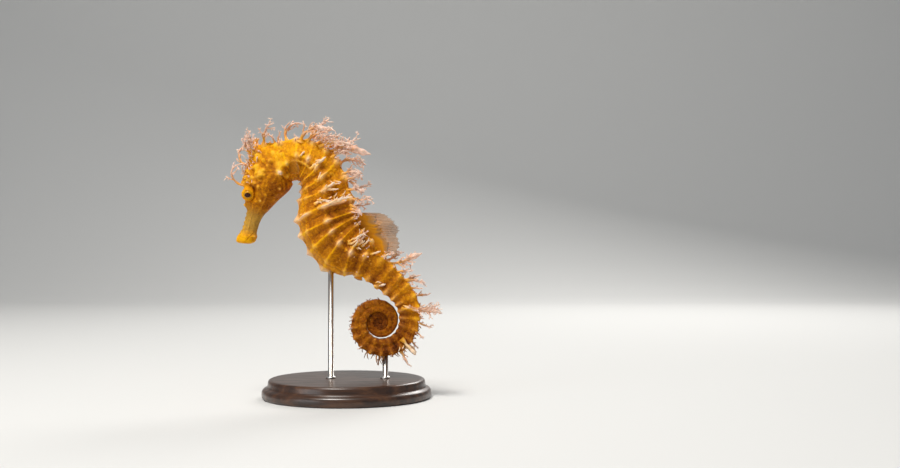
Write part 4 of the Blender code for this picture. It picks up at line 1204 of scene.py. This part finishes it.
# %% The large fronds, as planned in the solids
FRONDS = (      # along, corner (left positive), length, lean, turn, tilt, root radius, swelling, twigs
    (16.3, 0.4, 12.0, -35, 200, 8, 0.42, 0.0, 4), (22.4, -0.8, 11.4, -37, 188, 14, 0.42, 0.0, 6),
    (26.9, 1.2, 8.8, 26, 60, 14, 0.45, 0.0, 9), (31.0, -1.9, 10.6, -34, 150, 16, 0.55, 0.1, 4),
    (33.9, 1.9, 11.7, 11, 94, 18, 0.55, 0.1, 9), (34.6, -1.9, 10.7, 27, 42, 24, 0.50, 0.1, 9),
    (37.9, 1.9, 10.9, 24, 54, 12, 0.50, 0.1, 9), (38.4, -1.9, 12.0, 25, 50, 26, 0.55, 1.2, 9),
    (39.3, 0.7, 14.8, 28, 42, 4, 0.55, 2.8, 8), (42.4, -1.9, 10.2, -17, 86, 20, 0.50, 0.0, 10),
    (46.3, 1.9, 6.4, 8, -28, 22, 0.42, 0.0, 8), (50.9, 1.9, 8.3, 9, -18, 16, 0.42, 0.0, 8),
    (83.3, 2.0, 11.4, 39, -16, 8, 0.50, 2.4, 9), (90.0, -3.2, 5.4, 19, 15, 26, 0.45, 0.0, 5),
    (89.8, 3.0, 7.4, 41, 21, 10, 0.45, 0.1, 6), (94.5, -3.0, 5.4, 34, -14, 18, 0.45, 0.0, 5),
    (98.2, 3.0, 7.4, 24, -19, 12, 0.45, 0.1, 6), (109.9, 3.0, 6.0, 10, -10, 14, 0.50, 0.2, 3),
    (115.3, -3.0, 4.4, 10, 0, 20, 0.40, 0.0, 3),
)
EXTRA_FRONDS = (                        # the finer ones between them, in the same terms
    (24.3, -1.0, 7.6, -20, 120, 20, 0.34, 0.0, 8), (24.9, 1.4, 8.6, 2, 70, 24, 0.34, 0.0, 9),
    (28.8, 1.6, 4.6, 20, -60, 16, 0.30, 0.0, 3), (29.6, 1.0, 4.4, -10, 80, 10, 0.28, 0.0, 3),
    (19.6, 1.0, 4.2, -30, 150, 18, 0.28, 0.0, 3), (16.9, -0.4, 5.8, 66, 10, 4, 0.34, 0.0, 2),
    (36.0, 1.4, 8.2, 30, 40, 8, 0.38, 0.0, 8), (36.8, -1.6, 9.0, 10, 60, 20, 0.38, 0.0, 9),
    (40.9, 1.9, 5.4, -10, 40, 18, 0.38, 0.0, 6), (40.0, -1.0, 9.6, 16, 34, 6, 0.40, 0.2, 8),
    (44.6, -1.9, 7.6, -4, 70, 22, 0.36, 0.0, 8), (44.9, 1.9, 7.2, -8, 40, 24, 0.36, 0.0, 8),
    (48.6, -1.9, 8.4, 4, -30, 24, 0.36, 0.0, 8), (48.9, 1.9, 6.2, -14, 46, 18, 0.34, 0.0, 7),
    (52.8, -1.9, 6.6, 12, -40, 20, 0.36, 0.0, 7), (53.3, 1.9, 5.0, 18, 30, 26, 0.32, 0.0, 6),
    (55.4, 1.9, 4.4, 10, 30, 30, 0.34, 0.3, 4), (80.4, 2.4, 4.4, 20, 30, 14, 0.34, 0.0, 4),
    (82.0, -2.6, 6.2, 30, -20, 20, 0.38, 0.0, 6), (86.6, 2.8, 5.4, 30, 30, 14, 0.36, 0.0, 5),
    (92.5, 3.2, 4.2, 30, 20, 16, 0.34, 0.0, 3), (101.5, 3.2, 5.2, 20, -20, 14, 0.36, 0.0, 5),
    (96.9, 5.6, 12.0, 18, 0, 9, 0.36, 0.2, 12), (96.9, -5.6, 12.0, 18, 0, 9, 0.36, 0.2, 12),
    (103.9, 3.4, 3.8, 12, 20, 16, 0.32, 0.0, 3), (106.8, -3.2, 4.0, 8, 10, 20, 0.32, 0.0, 3),
)
FLANK_FRONDS = (                        # those that lie against the flank, the same on both sides
    (39.9, 4.6, 6.6, 8, -6, 7, 0.52, 0.4, 6), (34.6, 4.0, 2.6, 30, 0, 8, 0.34, 0.2, 2),
    (44.9, 4.4, 3.2, -55, 0, 8, 0.34, 0.3, 3), (48.7, 4.4, 6.0, -26, 0, 7, 0.40, 0.7, 4),
    (48.3, 4.0, 5.0, 0, 4, 8, 0.34, 0.4, 3), (53.9, 4.5, 11.0, -20, 6, 7, 0.46, 0.4, 14),
    (52.6, 4.8, 5.2, -34, 40, 9, 0.38, 0.3, 7), (51.4, 4.5, 4.2, -8, 40, 12, 0.34, 0.3, 5),
    (55.2, 6.6, 3.8, -18, 0, 9, 0.40, 0.2, 2), (68.5, 3.4, 6.2, 20, 0, 8, 0.34, 0.4, 8),
    (68.9, 3.5, 4.4, 60, -90, 10, 0.36, 0.2, 4), (70.6, 3.6, 3.8, 34, -60, 10, 0.36, 0.2, 4),
    (71.8, 3.1, 3.2, 54, -50, 10, 0.34, 0.2, 3), (73.4, 3.0, 3.4, 40, -40, 10, 0.34, 0.1, 3),
    (77.0, 3.7, 3.6, 40, 0, 8, 0.38, 0.2, 3), (80.6, 3.7, 3.0, 6, 20, 8, 0.32, 0.2, 2),
    (84.2, 6.0, 3.8, 43, -10, 12, 0.42, 0.3, 4), (85.0, 6.3, 2.8, 50, 30, 12, 0.34, 0.2, 2),
    (107.7, 4.8, 7.0, 10, -10, 14, 0.55, 1.0, 8),
)
HEAD_MANE_END, NECK_MANE_END = 30, 60
print("fronds:", len(FRONDS), "large,", len(EXTRA_FRONDS), "finer,", len(FLANK_FRONDS), "on each flank")


# %% How a frond grows
ROOT_DEPTH = 0.35                       # each frond sets out from under the skin
STALK_STEP, TWIG_STEP = 0.5, 0.35
LONGEST_TWIG = 3.6
THINNEST_STALK, THINNEST_TWIG, THINNEST_END = 0.05, 0.22, 0.17


def leaning(s, degrees, tilt=0.0):
    """The way to the back at s, leant toward the tail and tilted toward +Y."""
    _, back, along = frame_at(np.array(float(s)))
    a, t = math.radians(degrees), math.radians(tilt)
    return (back * math.cos(a) + along * math.sin(a)) * math.cos(t) + np.array([0.0, math.sin(t), 0.0])


def wandering(start, s, heading, turn, tilt, length, steps, wobble):
    """A line that sets out at a heading and turns steadily, with a slight waver of its own."""
    points, step = [start], length / steps
    phase, speed = rng.uniform(0, 6.28), rng.uniform(3, 7)
    for i in range(steps):
        share = (i + 0.5) / steps
        sway = wobble * math.sin(phase + speed * share * 3)
        points.append(points[-1] + leaning(s, heading + turn * share + sway, tilt + sway * 0.8) * step)
    return np.array(points)


def grow(strands, s, corner, length, lean, turn, tilt, radius, swell, twigs, on_map, flare=2.5,
         calm=False):
    """One branched frond: a stalk, its twigs, and small twigs on those. A calm one has none of the last."""
    root, _ = plain_surface(s, corner)
    root = root - leaning(s, lean * 0.7) * ROOT_DEPTH
    tilt = -np.sign(corner or 1) * tilt
    steps = max(6, round(length / STALK_STEP))
    stalk = wandering(root, s, lean, turn, tilt, length, steps, 12 if calm else 7)
    share = np.linspace(0, 1, steps + 1)
    knots = 1 + 0.16 * np.sin(share * length * 2.1 + rng.uniform(0, 6))
    thick = radius * (1 - 0.5 * share) * (1 + swell * np.exp(-(((share - 0.74) / 0.18) ** 2))) * knots
    thick *= 1 + (flare - 1) * (0.45 if calm or s > 100 else 1.0) * np.exp(-share * length / 0.7)
    thick[-1] *= 0.35
    strands.append((stalk, np.maximum(thick, THINNEST_STALK), 0.05 + 0.85 * share, on_map))
    for number in range(twigs):
        at = 0.22 + (0.75 if swell < 1 else 0.4) * (number + rng.uniform(0.1, 0.9)) / max(twigs, 1)
        k = min(int(at * steps), steps - 1)
        side = 1 if number % 2 else -1
        bend = side * (rng.uniform(12, 34) if calm else rng.uniform(28, 70))
        reach = min(length * rng.uniform(0.18, 0.42) * (1.15 - 0.5 * at), LONGEST_TWIG)
        heading = lean + turn * at + bend
        twist = tilt + rng.uniform(-34, 34) * (0.3 if calm else 1.0)
        few = max(4, round(reach / TWIG_STEP))
        twig = wandering(stalk[k], s, heading, -side * rng.uniform(10, 90), twist, reach, few, 14)
        along_twig = np.linspace(0, 1, few + 1)
        thin = max(THINNEST_TWIG, min(thick[k], radius) * (0.75 if calm else 0.62)) * (1 - 0.5 * along_twig)
        thin *= 1 + 0.2 * np.sin(along_twig * 9)
        thin[-1] *= 0.4
        strands.append((twig, thin, 0.05 + 0.85 * at + 0.25 * along_twig, on_map))
        for _ in range(0 if calm else rng.integers(1, 3) + int(reach > 1.2) * rng.integers(1, 3)):
            j = rng.integers(1, few)
            small = wandering(twig[j], s, heading + rng.choice((-1, 1)) * rng.uniform(28, 78),
                              rng.uniform(-80, 80), twist + rng.uniform(-40, 40),
                              max(0.45, reach * rng.uniform(0.25, 0.5)), 4, 12)
            taper = np.array((1.0, 0.95, 0.9, 0.75, 0.35)) * max(THINNEST_END, thin[j] * 0.75)
            strands.append((small, taper, np.linspace(0.3 + 0.7 * at, 1.2, len(taper)), on_map))


print("leant 30 degrees at the nape, a frond points", np.round(leaning(30.0, 30.0), 2))

# %% The fronds grown
def between(count, low, high, corner_low, corner_high, shortest, longest):
    """More fronds of the middle size, thrown where the mane is thickest."""
    return tuple((rng.uniform(low, high), rng.choice((-1, 1)) * rng.uniform(corner_low, corner_high),
                  rng.uniform(shortest, longest), rng.uniform(-10, 34), rng.uniform(10, 80),
                  rng.uniform(4, 26), rng.uniform(0.28, 0.38), 0.0, int(rng.integers(6, 10)))
                 for _ in range(count))


EXTRA_FRONDS += between(7, 34.5, 40.5, 0.4, 2.3, 6.0, 11.5)
EXTRA_FRONDS += between(4, 44.0, 54.0, 1.2, 2.1, 4.0, 8.0)
EXTRA_FRONDS += between(3, 23.0, 27.0, 0.7, 1.8, 4.0, 8.0)
mane = {"mane_head": [], "mane_neck": [], "mane_tail": [], "mane_flank": [], "coil_fringe": []}
far_flank = tuple((row[0], -row[1], *row[2:]) for row in FLANK_FRONDS)
for number, row in enumerate(FRONDS + EXTRA_FRONDS + FLANK_FRONDS + far_flank):
    part = "mane_head" if row[0] < HEAD_MANE_END else "mane_neck" if row[0] < NECK_MANE_END else "mane_tail"
    lying = number >= len(FRONDS + EXTRA_FRONDS)
    twigs = (row[8] + 1) // 2 if lying else row[8]
    grow(mane["mane_flank" if lying else part], *row[:8], twigs, root_on_map(row[0], row[1]), calm=lying)
print({part: len(strands) for part, strands in mane.items()})

# %% Tufts on the flanks, filaments on the crown
TUFTS = (                               # along, corner, how many, longest: the clusters on the flanks
    (46.4, 3.3, 3, 2.6), (50.8, 2.6, 4, 2.8), (51.0, 3.6, 5, 2.4), (51.4, 4.4, 4, 1.8), (70.2, 2.4, 6, 3.2),
    (71.8, 2.8, 6, 2.8), (73.0, 3.2, 3, 2.0), (74.6, 2.2, 4, 2.2), (84.2, 5.9, 3, 2.2), (96.6, 5.2, 5, 2.4),
    (109.0, 4.2, 4, 2.6), (47.5, 3.8, 2, 2.4), (39.6, 3.9, 2, 2.2),
)
CROWN_FILAMENTS = 70


def filament(part, s, corner, length, lean, turn, tilt, radius, twigs=0, calm=False):
    grow(mane[part], s, corner, length, lean, turn, tilt, radius, 0.0, twigs, root_on_map(s, corner), 1.7,
         calm)


for s, corner, count, longest in TUFTS:
    for sign in (1, -1):
        for _ in range(count):
            filament("mane_flank", s + rng.uniform(-0.7, 0.7), sign * (corner + rng.uniform(-0.35, 0.35)),
                     longest * rng.uniform(0.5, 1.1), rng.uniform(-40, 70), rng.uniform(-90, 90),
                     rng.uniform(6, 36), rng.uniform(0.2, 0.3), rng.integers(0, 2), True)
for _ in range(CROWN_FILAMENTS):
    filament("mane_head", rng.uniform(17, 29), rng.choice((-1, 1)) * rng.uniform(0.2, 2.6),
             rng.uniform(0.7, 2.6), rng.uniform(-35, 45), rng.uniform(-40, 70), rng.uniform(0, 40),
             rng.uniform(0.13, 0.2), rng.integers(0, 2))
print("on the flanks:", len(mane["mane_flank"]), "on the head:", len(mane["mane_head"]))

# %% Filaments on the rings
TRUNK_TUFTS = ((1.9, 4, 3.2),)          # corner, most filaments, longest
TAIL_TUFTS = ((3.9, 3, 2.7), (3.0, 2, 1.6), (6.0, 2, 1.2))          # the last of them only on the shaft
TUFTED_TAIL_RINGS, SHRINKING_RINGS = 18, 26


def ring_tufts(number, middle):
    """Filaments where a ring's crest crosses the ridges, on both sides of the body."""
    size, rows = 1.0, TRUNK_TUFTS
    if number >= TRUNK_RINGS:
        size = 0.9 - 0.3 * smooth(TRUNK_RINGS, TRUNK_RINGS + SHRINKING_RINGS, number)
        rows = TAIL_TUFTS if middle < COIL_START - 8 else TAIL_TUFTS[:2]
    for sign in (1, -1):
        for corner, most, longest in rows:
            s = crest_place(middle, corner)
            for _ in range(rng.integers(1, most + 1)):
                filament("mane_neck" if s < NECK_MANE_END else "mane_tail", s + rng.uniform(-0.5, 0.5),
                         sign * (corner + rng.uniform(-0.35, 0.35)), longest * size * rng.uniform(0.35, 1.0),
                         rng.uniform(-30, 50) + (130 if corner == 6 else 0), rng.uniform(-50, 50),
                         rng.uniform(5, 45), rng.uniform(0.13, 0.21) * size, rng.integers(0, 3))


for number, middle in enumerate((JOINTS[1:] + JOINTS[:-1])[:TRUNK_RINGS + TUFTED_TAIL_RINGS] / 2):
    ring_tufts(number, middle)
    if 4 < number < TRUNK_RINGS:        # a few stray ones anywhere round the belly and back
        for _ in range(rng.integers(0, 3)):
            filament("mane_neck", middle + rng.uniform(-2.0, 2.0), rng.uniform(-7.9, 7.9),
                     rng.uniform(0.5, 1.2), rng.uniform(-180, 180), 20, 40, 0.13)
print("on the neck:", len(mane["mane_neck"]), "on the tail:", len(mane["mane_tail"]))

# %% The coil's fringe of little hooks
for s in np.arange(COIL_START - 8, COIL_START + 30, 0.8):
    longest = 1.7 + 2.3 * math.exp(-(((s - COIL_START - 9) / 4.5) ** 2))
    for sign in (1, -1):
        if rng.random() < 0.7:
            filament("coil_fringe", s, sign * rng.uniform(1.8, 3.4), longest * rng.uniform(0.4, 1.1),
                     rng.uniform(-35, 35), rng.choice((-1, 1)) * rng.uniform(20, 110), rng.uniform(0, 18),
                     rng.uniform(0.16, 0.24))
print("on the coil:", len(mane["coil_fringe"]))


# %% The mane's paint, and its pieces
def mane_finish(name, *stops):
    f = Finish(name, 0.5, Subsurface_Weight=0.2, Subsurface_Scale=0.001)
    f.shader.inputs["Subsurface Radius"].default_value = (1.0, 0.6, 0.4)
    grown = f.unsettle(f.value("growth"), f.noise(620, 3), 0.9)
    f.paint("Base Color", f.ramp(grown, *stops))
    f.paint("Normal", f.bump(f.noise(3200, 2), 0.0002, 0.5))
    return f.material


mane_flesh = mane_finish("mane_flesh", (0.0, (0.78, 0.32, 0.003)), (0.14, (0.80, 0.36, 0.01)),
                         (0.30, (0.70, 0.33, 0.09)), (0.52, (0.73, 0.42, 0.27)), (0.95, (0.91, 0.65, 0.53)))
flank_flesh = mane_finish("flank_flesh", (0.0, (0.78, 0.32, 0.003)), (0.14, (0.84, 0.40, 0.02)),
                          (0.30, (0.90, 0.54, 0.22)), (0.55, (0.93, 0.63, 0.39)), (0.95, (0.95, 0.71, 0.54)))
fringe_flesh = mane_finish("fringe_flesh", (0.0, (0.50, 0.19, 0.003)), (0.4, (0.46, 0.18, 0.01)),
                           (0.7, (0.22, 0.09, 0.02)), (1.0, (0.12, 0.045, 0.015)))
paints = {"coil_fringe": fringe_flesh, "mane_flank": flank_flesh}
for part, strands in mane.items():
    piece = sweep(part, strands, 6, paints.get(part, mane_flesh))
    patch_map(piece)
    dress(piece, "skin")
    print(part, len(strands), "strands,", sum(len(p.vertices) - 2 for p in piece.data.polygons), "triangles")

# %% [markdown]
# ## The coronet
# The crest on a seahorse's head is a short bony column with a few blunt points, as individual as a
# thumbprint. This one leans back and ends in five lobes. It is turned like a small vase whose wall is
# pinched in between the points, roughened a little, and its foot spreads into the crown.

# %% Coronet
CORONET_PLACE, CORONET_LEAN, CORONET_POINTS = 25.4, 28.0, 5
CORONET_OUTLINE = (                     # height over the crown, radius, depth of the pinch
    (-1.3, 2.3, 0.0), (-0.7, 2.15, 0.02), (-0.1, 1.8, 0.04), (0.5, 1.5, 0.08), (1.1, 1.35, 0.13),
    (1.6, 1.4, 0.20), (2.1, 1.58, 0.28), (2.5, 1.72, 0.34), (2.72, 1.66, 0.38), (2.66, 1.3, 0.34),
    (2.3, 0.9, 0.2), (2.0, 0.5, 0.05), (1.9, 0.2, 0.0),
)


def coronet():
    top, _ = plain_surface(CORONET_PLACE, 0.0)
    axis = leaning(CORONET_PLACE, CORONET_LEAN)
    side = np.cross(axis, (0.0, 1.0, 0.0))
    other = np.cross(axis, side)
    down, around = 60, 90
    t = np.linspace(0, len(CORONET_OUTLINE) - 1, down)
    table = np.array(CORONET_OUTLINE)
    height, radius, pinch = (through(np.arange(len(table)), table[:, k], t) for k in range(3))
    clock = np.arange(around) * 2 * math.pi / around
    points, growth = [], []
    for h, r, p in zip(height, radius, pinch):
        lobes = np.cos(CORONET_POINTS * clock + 0.3)
        lumpy = 1 + 0.05 * np.sin(3 * clock + 4 * h) + 0.03 * np.sin(8 * clock - 6 * h)
        reach = r * (1 + p * lobes) * lumpy
        rise = h + 0.5 * p * lobes * (r > 1.2)
        points += list(top + np.outer(rise, axis) + np.outer(reach * np.cos(clock), side)
                       + np.outer(reach * np.sin(clock), other))
        growth += [max(0.0, h / 2.7)] * around
    points += [top + axis * height[0], top + axis * height[-1]]
    growth += [0.0, 0.6]
    faces = []
    for r in range(down - 1):
        for k in range(around):
            j = (k + 1) % around
            faces.append((r * around + k, r * around + j, (r + 1) * around + j, (r + 1) * around + k))
    last = (down - 1) * around
    for k in range(around):
        j = (k + 1) % around
        faces += [(j, k, len(points) - 2), (last + k, last + j, len(points) - 1)]
    made = mesh_object("coronet_crest", points, faces)
    face_outward(made)
    write_values(made, "growth", growth)
    return made


def coronet_finish():
    f = Finish("coronet_skin", 0.46, Subsurface_Weight=0.12, Subsurface_Scale=0.0012)
    grown = f.unsettle(f.value("growth"), f.noise(1100, 3), 0.9)
    f.paint("Base Color", f.ramp(grown, (0.0, (0.74, 0.29, 0.003)), (0.5, (0.92, 0.46, 0.01)),
                                 (0.85, (0.86, 0.48, 0.16)), (1.0, (0.85, 0.55, 0.34))))
    f.paint("Normal", f.bump(f.noise(2600, 3), 0.0003, 0.6))
    return f.material


crest_piece = coronet()
crest_piece.data.materials.append(coronet_finish())
dress(crest_piece, "skin", "coronet")
print("coronet:", CORONET_POINTS, "points")

# %% [markdown]
# ## The fins
# A seahorse swims with its fins alone. The back fin is a fan of soft rays on a fleshy foot: orange and
# solid near the body, clearer toward the rim, with each ray showing as a firmer line. Behind each gill
# cover is a small round breast fin, and under the vent a tiny one. Each fin is a thin closed web, the
# larger ones with a gentle wave, and its rays are strands laid inside the web.

# %% Webs and rays
DORSAL_RAYS = (                         # share of the way along the root, length, lean in degrees
    (0.0, 8.9, 14.0), (0.25, 11.7, 27.0), (0.5, 11.5, 42.0), (0.75, 9.4, 60.0), (1.0, 4.4, 70.0),
)
DORSAL_SPACES, ANAL_SPACES, PECTORAL_SPACES = 20, 4, 16                    # between rays
ANAL_ROOT = (76.0, 78.4)
ANAL_RAYS = ((0.0, 0.5, 20.0), (0.5, 0.9, 30.0), (1.0, 0.7, 45.0))
PECTORAL_PLACE, PECTORAL_CORNERS, PECTORAL_SPREAD = 29.7, (4.7, 6.1), 30.0
PECTORAL_RAYS = ((0.0, 2.6), (0.3, 3.6), (0.7, 3.6), (1.0, 2.6))


RIM_DIP = 0.05                          # how far the rim falls back between rays, of the fin's height


def web(name, feet, tips, outward, wave, half_thickness, steps, material, ray_every, ray_radius,
        ripple=0.25):
    """A thin closed sheet between feet and tips, and a strand in it for each ray."""
    count = len(feet)
    share = np.linspace(0, 1, steps + 1)
    phase = np.linspace(0, 3 * math.pi, count)
    ray_wave = np.cos(2 * math.pi * np.arange(count) / ray_every)
    grid = np.array([feet + (tips - feet) * t + outward * (wave * t * np.sin(phase + 1.4 * t))[:, None]
                     for t in share])
    rim = 1 - RIM_DIP * (1 - ray_wave) / 2
    grid = feet + (grid - feet) * (1 + (rim[None, :, None] - 1) * share[:, None, None] ** 6)
    thin = half_thickness * (1 - 0.75 * share)[:, None, None]
    thin = thin * (1 - ripple + ripple * ray_wave[None, :, None])
    sides = [grid + outward * thin, grid - outward * thin]
    n = (steps + 1) * count
    points = np.vstack([side.reshape(-1, 3) for side in sides])
    faces = []
    for r in range(steps):
        for k in range(count - 1):
            a = r * count + k
            faces.append((a, a + 1, a + 1 + count, a + count))
            faces.append((n + a, n + a + count, n + a + 1 + count, n + a + 1))
    border = [*range(count), *((r + 1) * count - 1 for r in range(1, steps + 1)),
              *(steps * count + k for k in range(count - 2, -1, -1)),
              *(r * count for r in range(steps - 1, 0, -1))]
    for a, b in zip(border, border[1:] + border[:1]):
        faces.append((b, a, n + a, n + b))
    made = mesh_object(name, points, faces)
    face_outward(made)
    write_values(made, "growth", np.tile(np.repeat(share, count), 2))
    made.data.materials.append(material)
    return made, [(grid[:, k], ray_radius * (1 - 0.7 * share), share, (0.5, 0.5))
                  for k in range(0, count, ray_every)]


print("rays:", DORSAL_SPACES + 1, "in the back fin,", PECTORAL_SPACES + 1, "in each breast fin")


# %% Where each fin springs from and how far it reaches
def fan(root, table, count, below=False):
    """The feet and tips of a fin in the middle plane: on the back, or below the belly."""
    share = np.linspace(0, 1, count)
    table = np.array(table)
    lengths, leans = through(table[:, 0], table[:, 1], share), through(table[:, 0], table[:, 2], share)
    s = root[0] + (root[1] - root[0]) * share
    feet, _ = plain_surface(s, 8.0 if below else 0.0)
    feet = feet + np.array([leaning(k, 180 if below else 0) for k in s]) * 0.15
    reach = np.array([leaning(k, 180 - lean if below else lean) for k, lean in zip(s, leans)])
    return feet, feet + reach * (lengths + 0.45)[:, None]


def breast_fan(sign, count):
    """The feet and tips of a breast fin, and the way out of its web."""
    share = np.linspace(0, 1, count)
    corners = sign * (PECTORAL_CORNERS[0] + (PECTORAL_CORNERS[1] - PECTORAL_CORNERS[0]) * share)
    feet, _ = plain_surface(PECTORAL_PLACE, corners)
    flank = np.array([0.0, -sign, 0.0])
    feet = feet + flank * 0.1
    table = np.array(PECTORAL_RAYS)
    _, _, along = frame_at(np.array(PECTORAL_PLACE))
    spread = math.radians(PECTORAL_SPREAD)
    ray = along * math.cos(spread) + flank * math.sin(spread)
    across = feet[-1] - feet[0]
    across /= np.linalg.norm(across)
    tips = feet + ray * (through(table[:, 0], table[:, 1], share) + 0.6)[:, None]
    tips += np.outer((share - 0.5) * 1.5, across)
    outward = np.cross(across, ray)
    return feet, tips, outward / np.linalg.norm(outward)


def uneven(count, amount):
    """A smooth unevenness from ray to ray."""
    knots = np.arange(0, count, 6)
    return through(knots, rng.uniform(-amount, amount, len(knots)), np.arange(count))


def fleshy_foot(name, feet, tips, outward, wave, material):
    """The thick lower part of the back fin: its edge is ragged where the muscles of the rays end."""
    ragged = 0.56 + uneven(len(feet), 0.1)
    reach = feet + (tips - feet) * ragged[:, None]
    foot, _ = web(name, feet, reach, outward, wave * 0.5, 0.75, 14, material, 6, 0.1, 0.05)
    return foot


print("the back fin's root is", round(DORSAL_ROOT[1] - DORSAL_ROOT[0], 1), "mm long")


# %% The fins' paint, and their pieces
def fin_finish(name, alpha, clear_from):
    f = Finish(name, 0.42, Alpha=alpha, Specular_IOR_Level=0.2)
    grown = f.unsettle(f.value("growth"), f.noise(500, 3), 0.4)
    f.paint("Base Color", f.ramp(grown, (0.0, (0.50, 0.16, 0.001)), (clear_from, (0.74, 0.30, 0.003)),
                                 (clear_from + 0.2, (0.46, 0.22, 0.06)), (1.0, (0.42, 0.25, 0.13))))
    f.paint("Normal", f.bump(f.noise(1800, 3), 0.0002, 0.4))
    return f.material


fin_web, fin_ray = fin_finish("fin_web", 0.46, 0.5), fin_finish("fin_ray", 0.7, 0.5)
breast_web = fin_finish("breast_web", 0.3, 0.8)
fin_flesh = fin_finish("fin_flesh", 1.0, 0.6)
feet, tips = fan(DORSAL_ROOT, DORSAL_RAYS, DORSAL_SPACES * 6 + 1)
tips += (tips - feet) * uneven(len(feet), 0.045)[:, None]
sideways = np.array([0.0, 1.0, 0.0])
foot = fleshy_foot("back_fin_foot", feet, tips, sideways, 0.55, fin_flesh)
dress(foot, "fin")
dorsal, rays = web("back_fin_web", feet, tips, sideways, 0.55, 0.22, 30, fin_web, 6, 0.12)
dress(dorsal, "fin", "dorsal_fin")
feet, tips = fan(ANAL_ROOT, ANAL_RAYS, ANAL_SPACES * 6 + 1, below=True)
anal, anal_rays = web("vent_fin_web", feet, tips, sideways, 0.0, 0.16, 10, fin_flesh, 6, 0.11)
dress(anal, "fin", "anal_fin")
rays += anal_rays
for name, node, sign in (("breast_fin_left_web", "pectoral_fin_left", 1),
                         ("breast_fin_right_web", "pectoral_fin_right", -1)):
    feet, tips, outward = breast_fan(sign, PECTORAL_SPACES * 4 + 1)
    breast, breast_rays = web(name, feet, tips, outward, 0.12, 0.15, 12, breast_web, 4, 0.07)
    dress(breast, "fin", node)
    rays += breast_rays
ray_piece = sweep("fin_rays", rays, 6, fin_ray)
patch_map(ray_piece)
dress(ray_piece, "fin")
print("fins:", len(rays), "rays")

# %% [markdown]
# ## The stand
# The base is a disc of dark wood, turned on a lathe with one bead and one step, and oiled. Two steel
# rods rise from small collars and end inside the belly and the coil, so only rods and collars show.

# %% Turning a piece
BASE_RADIUS = 27.0
BASE_OUTLINE = (                        # radius and height, from the top's middle to the underside's
    (0.0, 6.0), (8.0, 6.0), (16.0, 6.0), (23.6, 6.0), (24.4, 5.95), (24.75, 5.75), (24.95, 5.4), (25.05, 4.8),
    (25.15, 4.1), (25.3, 3.6), (25.6, 3.35), (26.1, 3.2), (26.6, 2.9), (26.9, 2.4), (BASE_RADIUS, 1.8),
    (BASE_RADIUS, 0.9), (26.85, 0.35), (26.5, 0.05), (26.2, 0.0), (14.0, 0.0), (0.0, 0.0),
)
ROD_RADIUS, ROD_BEVEL, ROD_FOOT = 0.9, 0.12, 3.0
COLLAR = ((1.25, 6.7), (1.5, 6.55), (1.6, 6.3), (1.6, 5.97))        # radius and height, down its side
RODS = (                                # name, the solid it stands for, place along X, height of its top
    ("rod_to_belly", "stand_rod_belly", -5.1, 42.0), ("rod_to_tail", "stand_rod_tail", 12.3, 14.5),
)


def turned(name, outline, x, around):
    """A lathe piece on an upright axis at x."""
    clock = np.arange(around) * 2 * math.pi / around
    inner = outline[1:-1]
    points = [(x, 0.0, outline[0][1])]
    for r, z in inner:
        points += [(x + r * math.cos(c), r * math.sin(c), z) for c in clock]
    points.append((x, 0.0, outline[-1][1]))
    return mesh_object(name, points, capped_rings(len(inner), around))


def rod_outline(top):
    return ((0.0, top), (ROD_RADIUS - ROD_BEVEL, top), (ROD_RADIUS, top - ROD_BEVEL), (ROD_RADIUS, 6.75),
            *COLLAR, (ROD_RADIUS, 5.9), (ROD_RADIUS, ROD_FOOT), (0.0, ROD_FOOT))


base = turned("wooden_base", BASE_OUTLINE, 0.0, 144)
print("base:", len(base.data.polygons), "faces")


# %% Wood and steel
def oiled_wood():
    """Long grain: the pattern is drawn out along X, and its lines waver with a slow noise."""
    f = Finish("oiled_wood", 0.34, Coat_Weight=0.25, Coat_Roughness=0.2)
    x, y, z = (f.add("ShaderNodeSeparateXYZ", {0: f.coords}, axis) for axis in "XYZ")
    stretched = f.add("ShaderNodeCombineXYZ", {0: f.maths("MULTIPLY", x, 0.12), 1: y, 2: z})
    drift = f.noise(130, 4, 0.6, stretched)
    wavering = f.maths("ADD", y, f.maths("MULTIPLY", drift, 0.012))
    lines = f.maths("SINE", f.maths("MULTIPLY", wavering, 1500))
    pores = f.noise(900, 4, 0.7, stretched)
    grain = f.maths("ADD", f.maths("MULTIPLY", lines, 0.14), f.maths("MULTIPLY", pores, 0.9))
    f.paint("Base Color", f.ramp(grain, (0.2, (0.020, 0.008, 0.004)), (0.5, (0.055, 0.022, 0.010)),
                                 (0.8, (0.115, 0.050, 0.022))))
    f.paint("Normal", f.bump(pores, 0.0001, 0.35))
    f.paint("Roughness", f.span(pores, 0.3, 0.7, 0.42, 0.28))
    return f.material


def steel():
    f = Finish("brushed_steel", 0.27, Metallic=1.0)
    f.shader.inputs["Base Color"].default_value = (0.62, 0.60, 0.57, 1.0)
    return f.material


base.data.materials.append(oiled_wood())
dress(base, "stand_wood", "stand_base")
metal = steel()
for name, node, x, top in RODS:
    rod = turned(name, rod_outline(top), x, 48)
    rod.data.materials.append(metal)
    dress(rod, "stand_metal", node)
print("stand:", len(RODS), "rods on a base", 2 * BASE_RADIUS, "mm across")
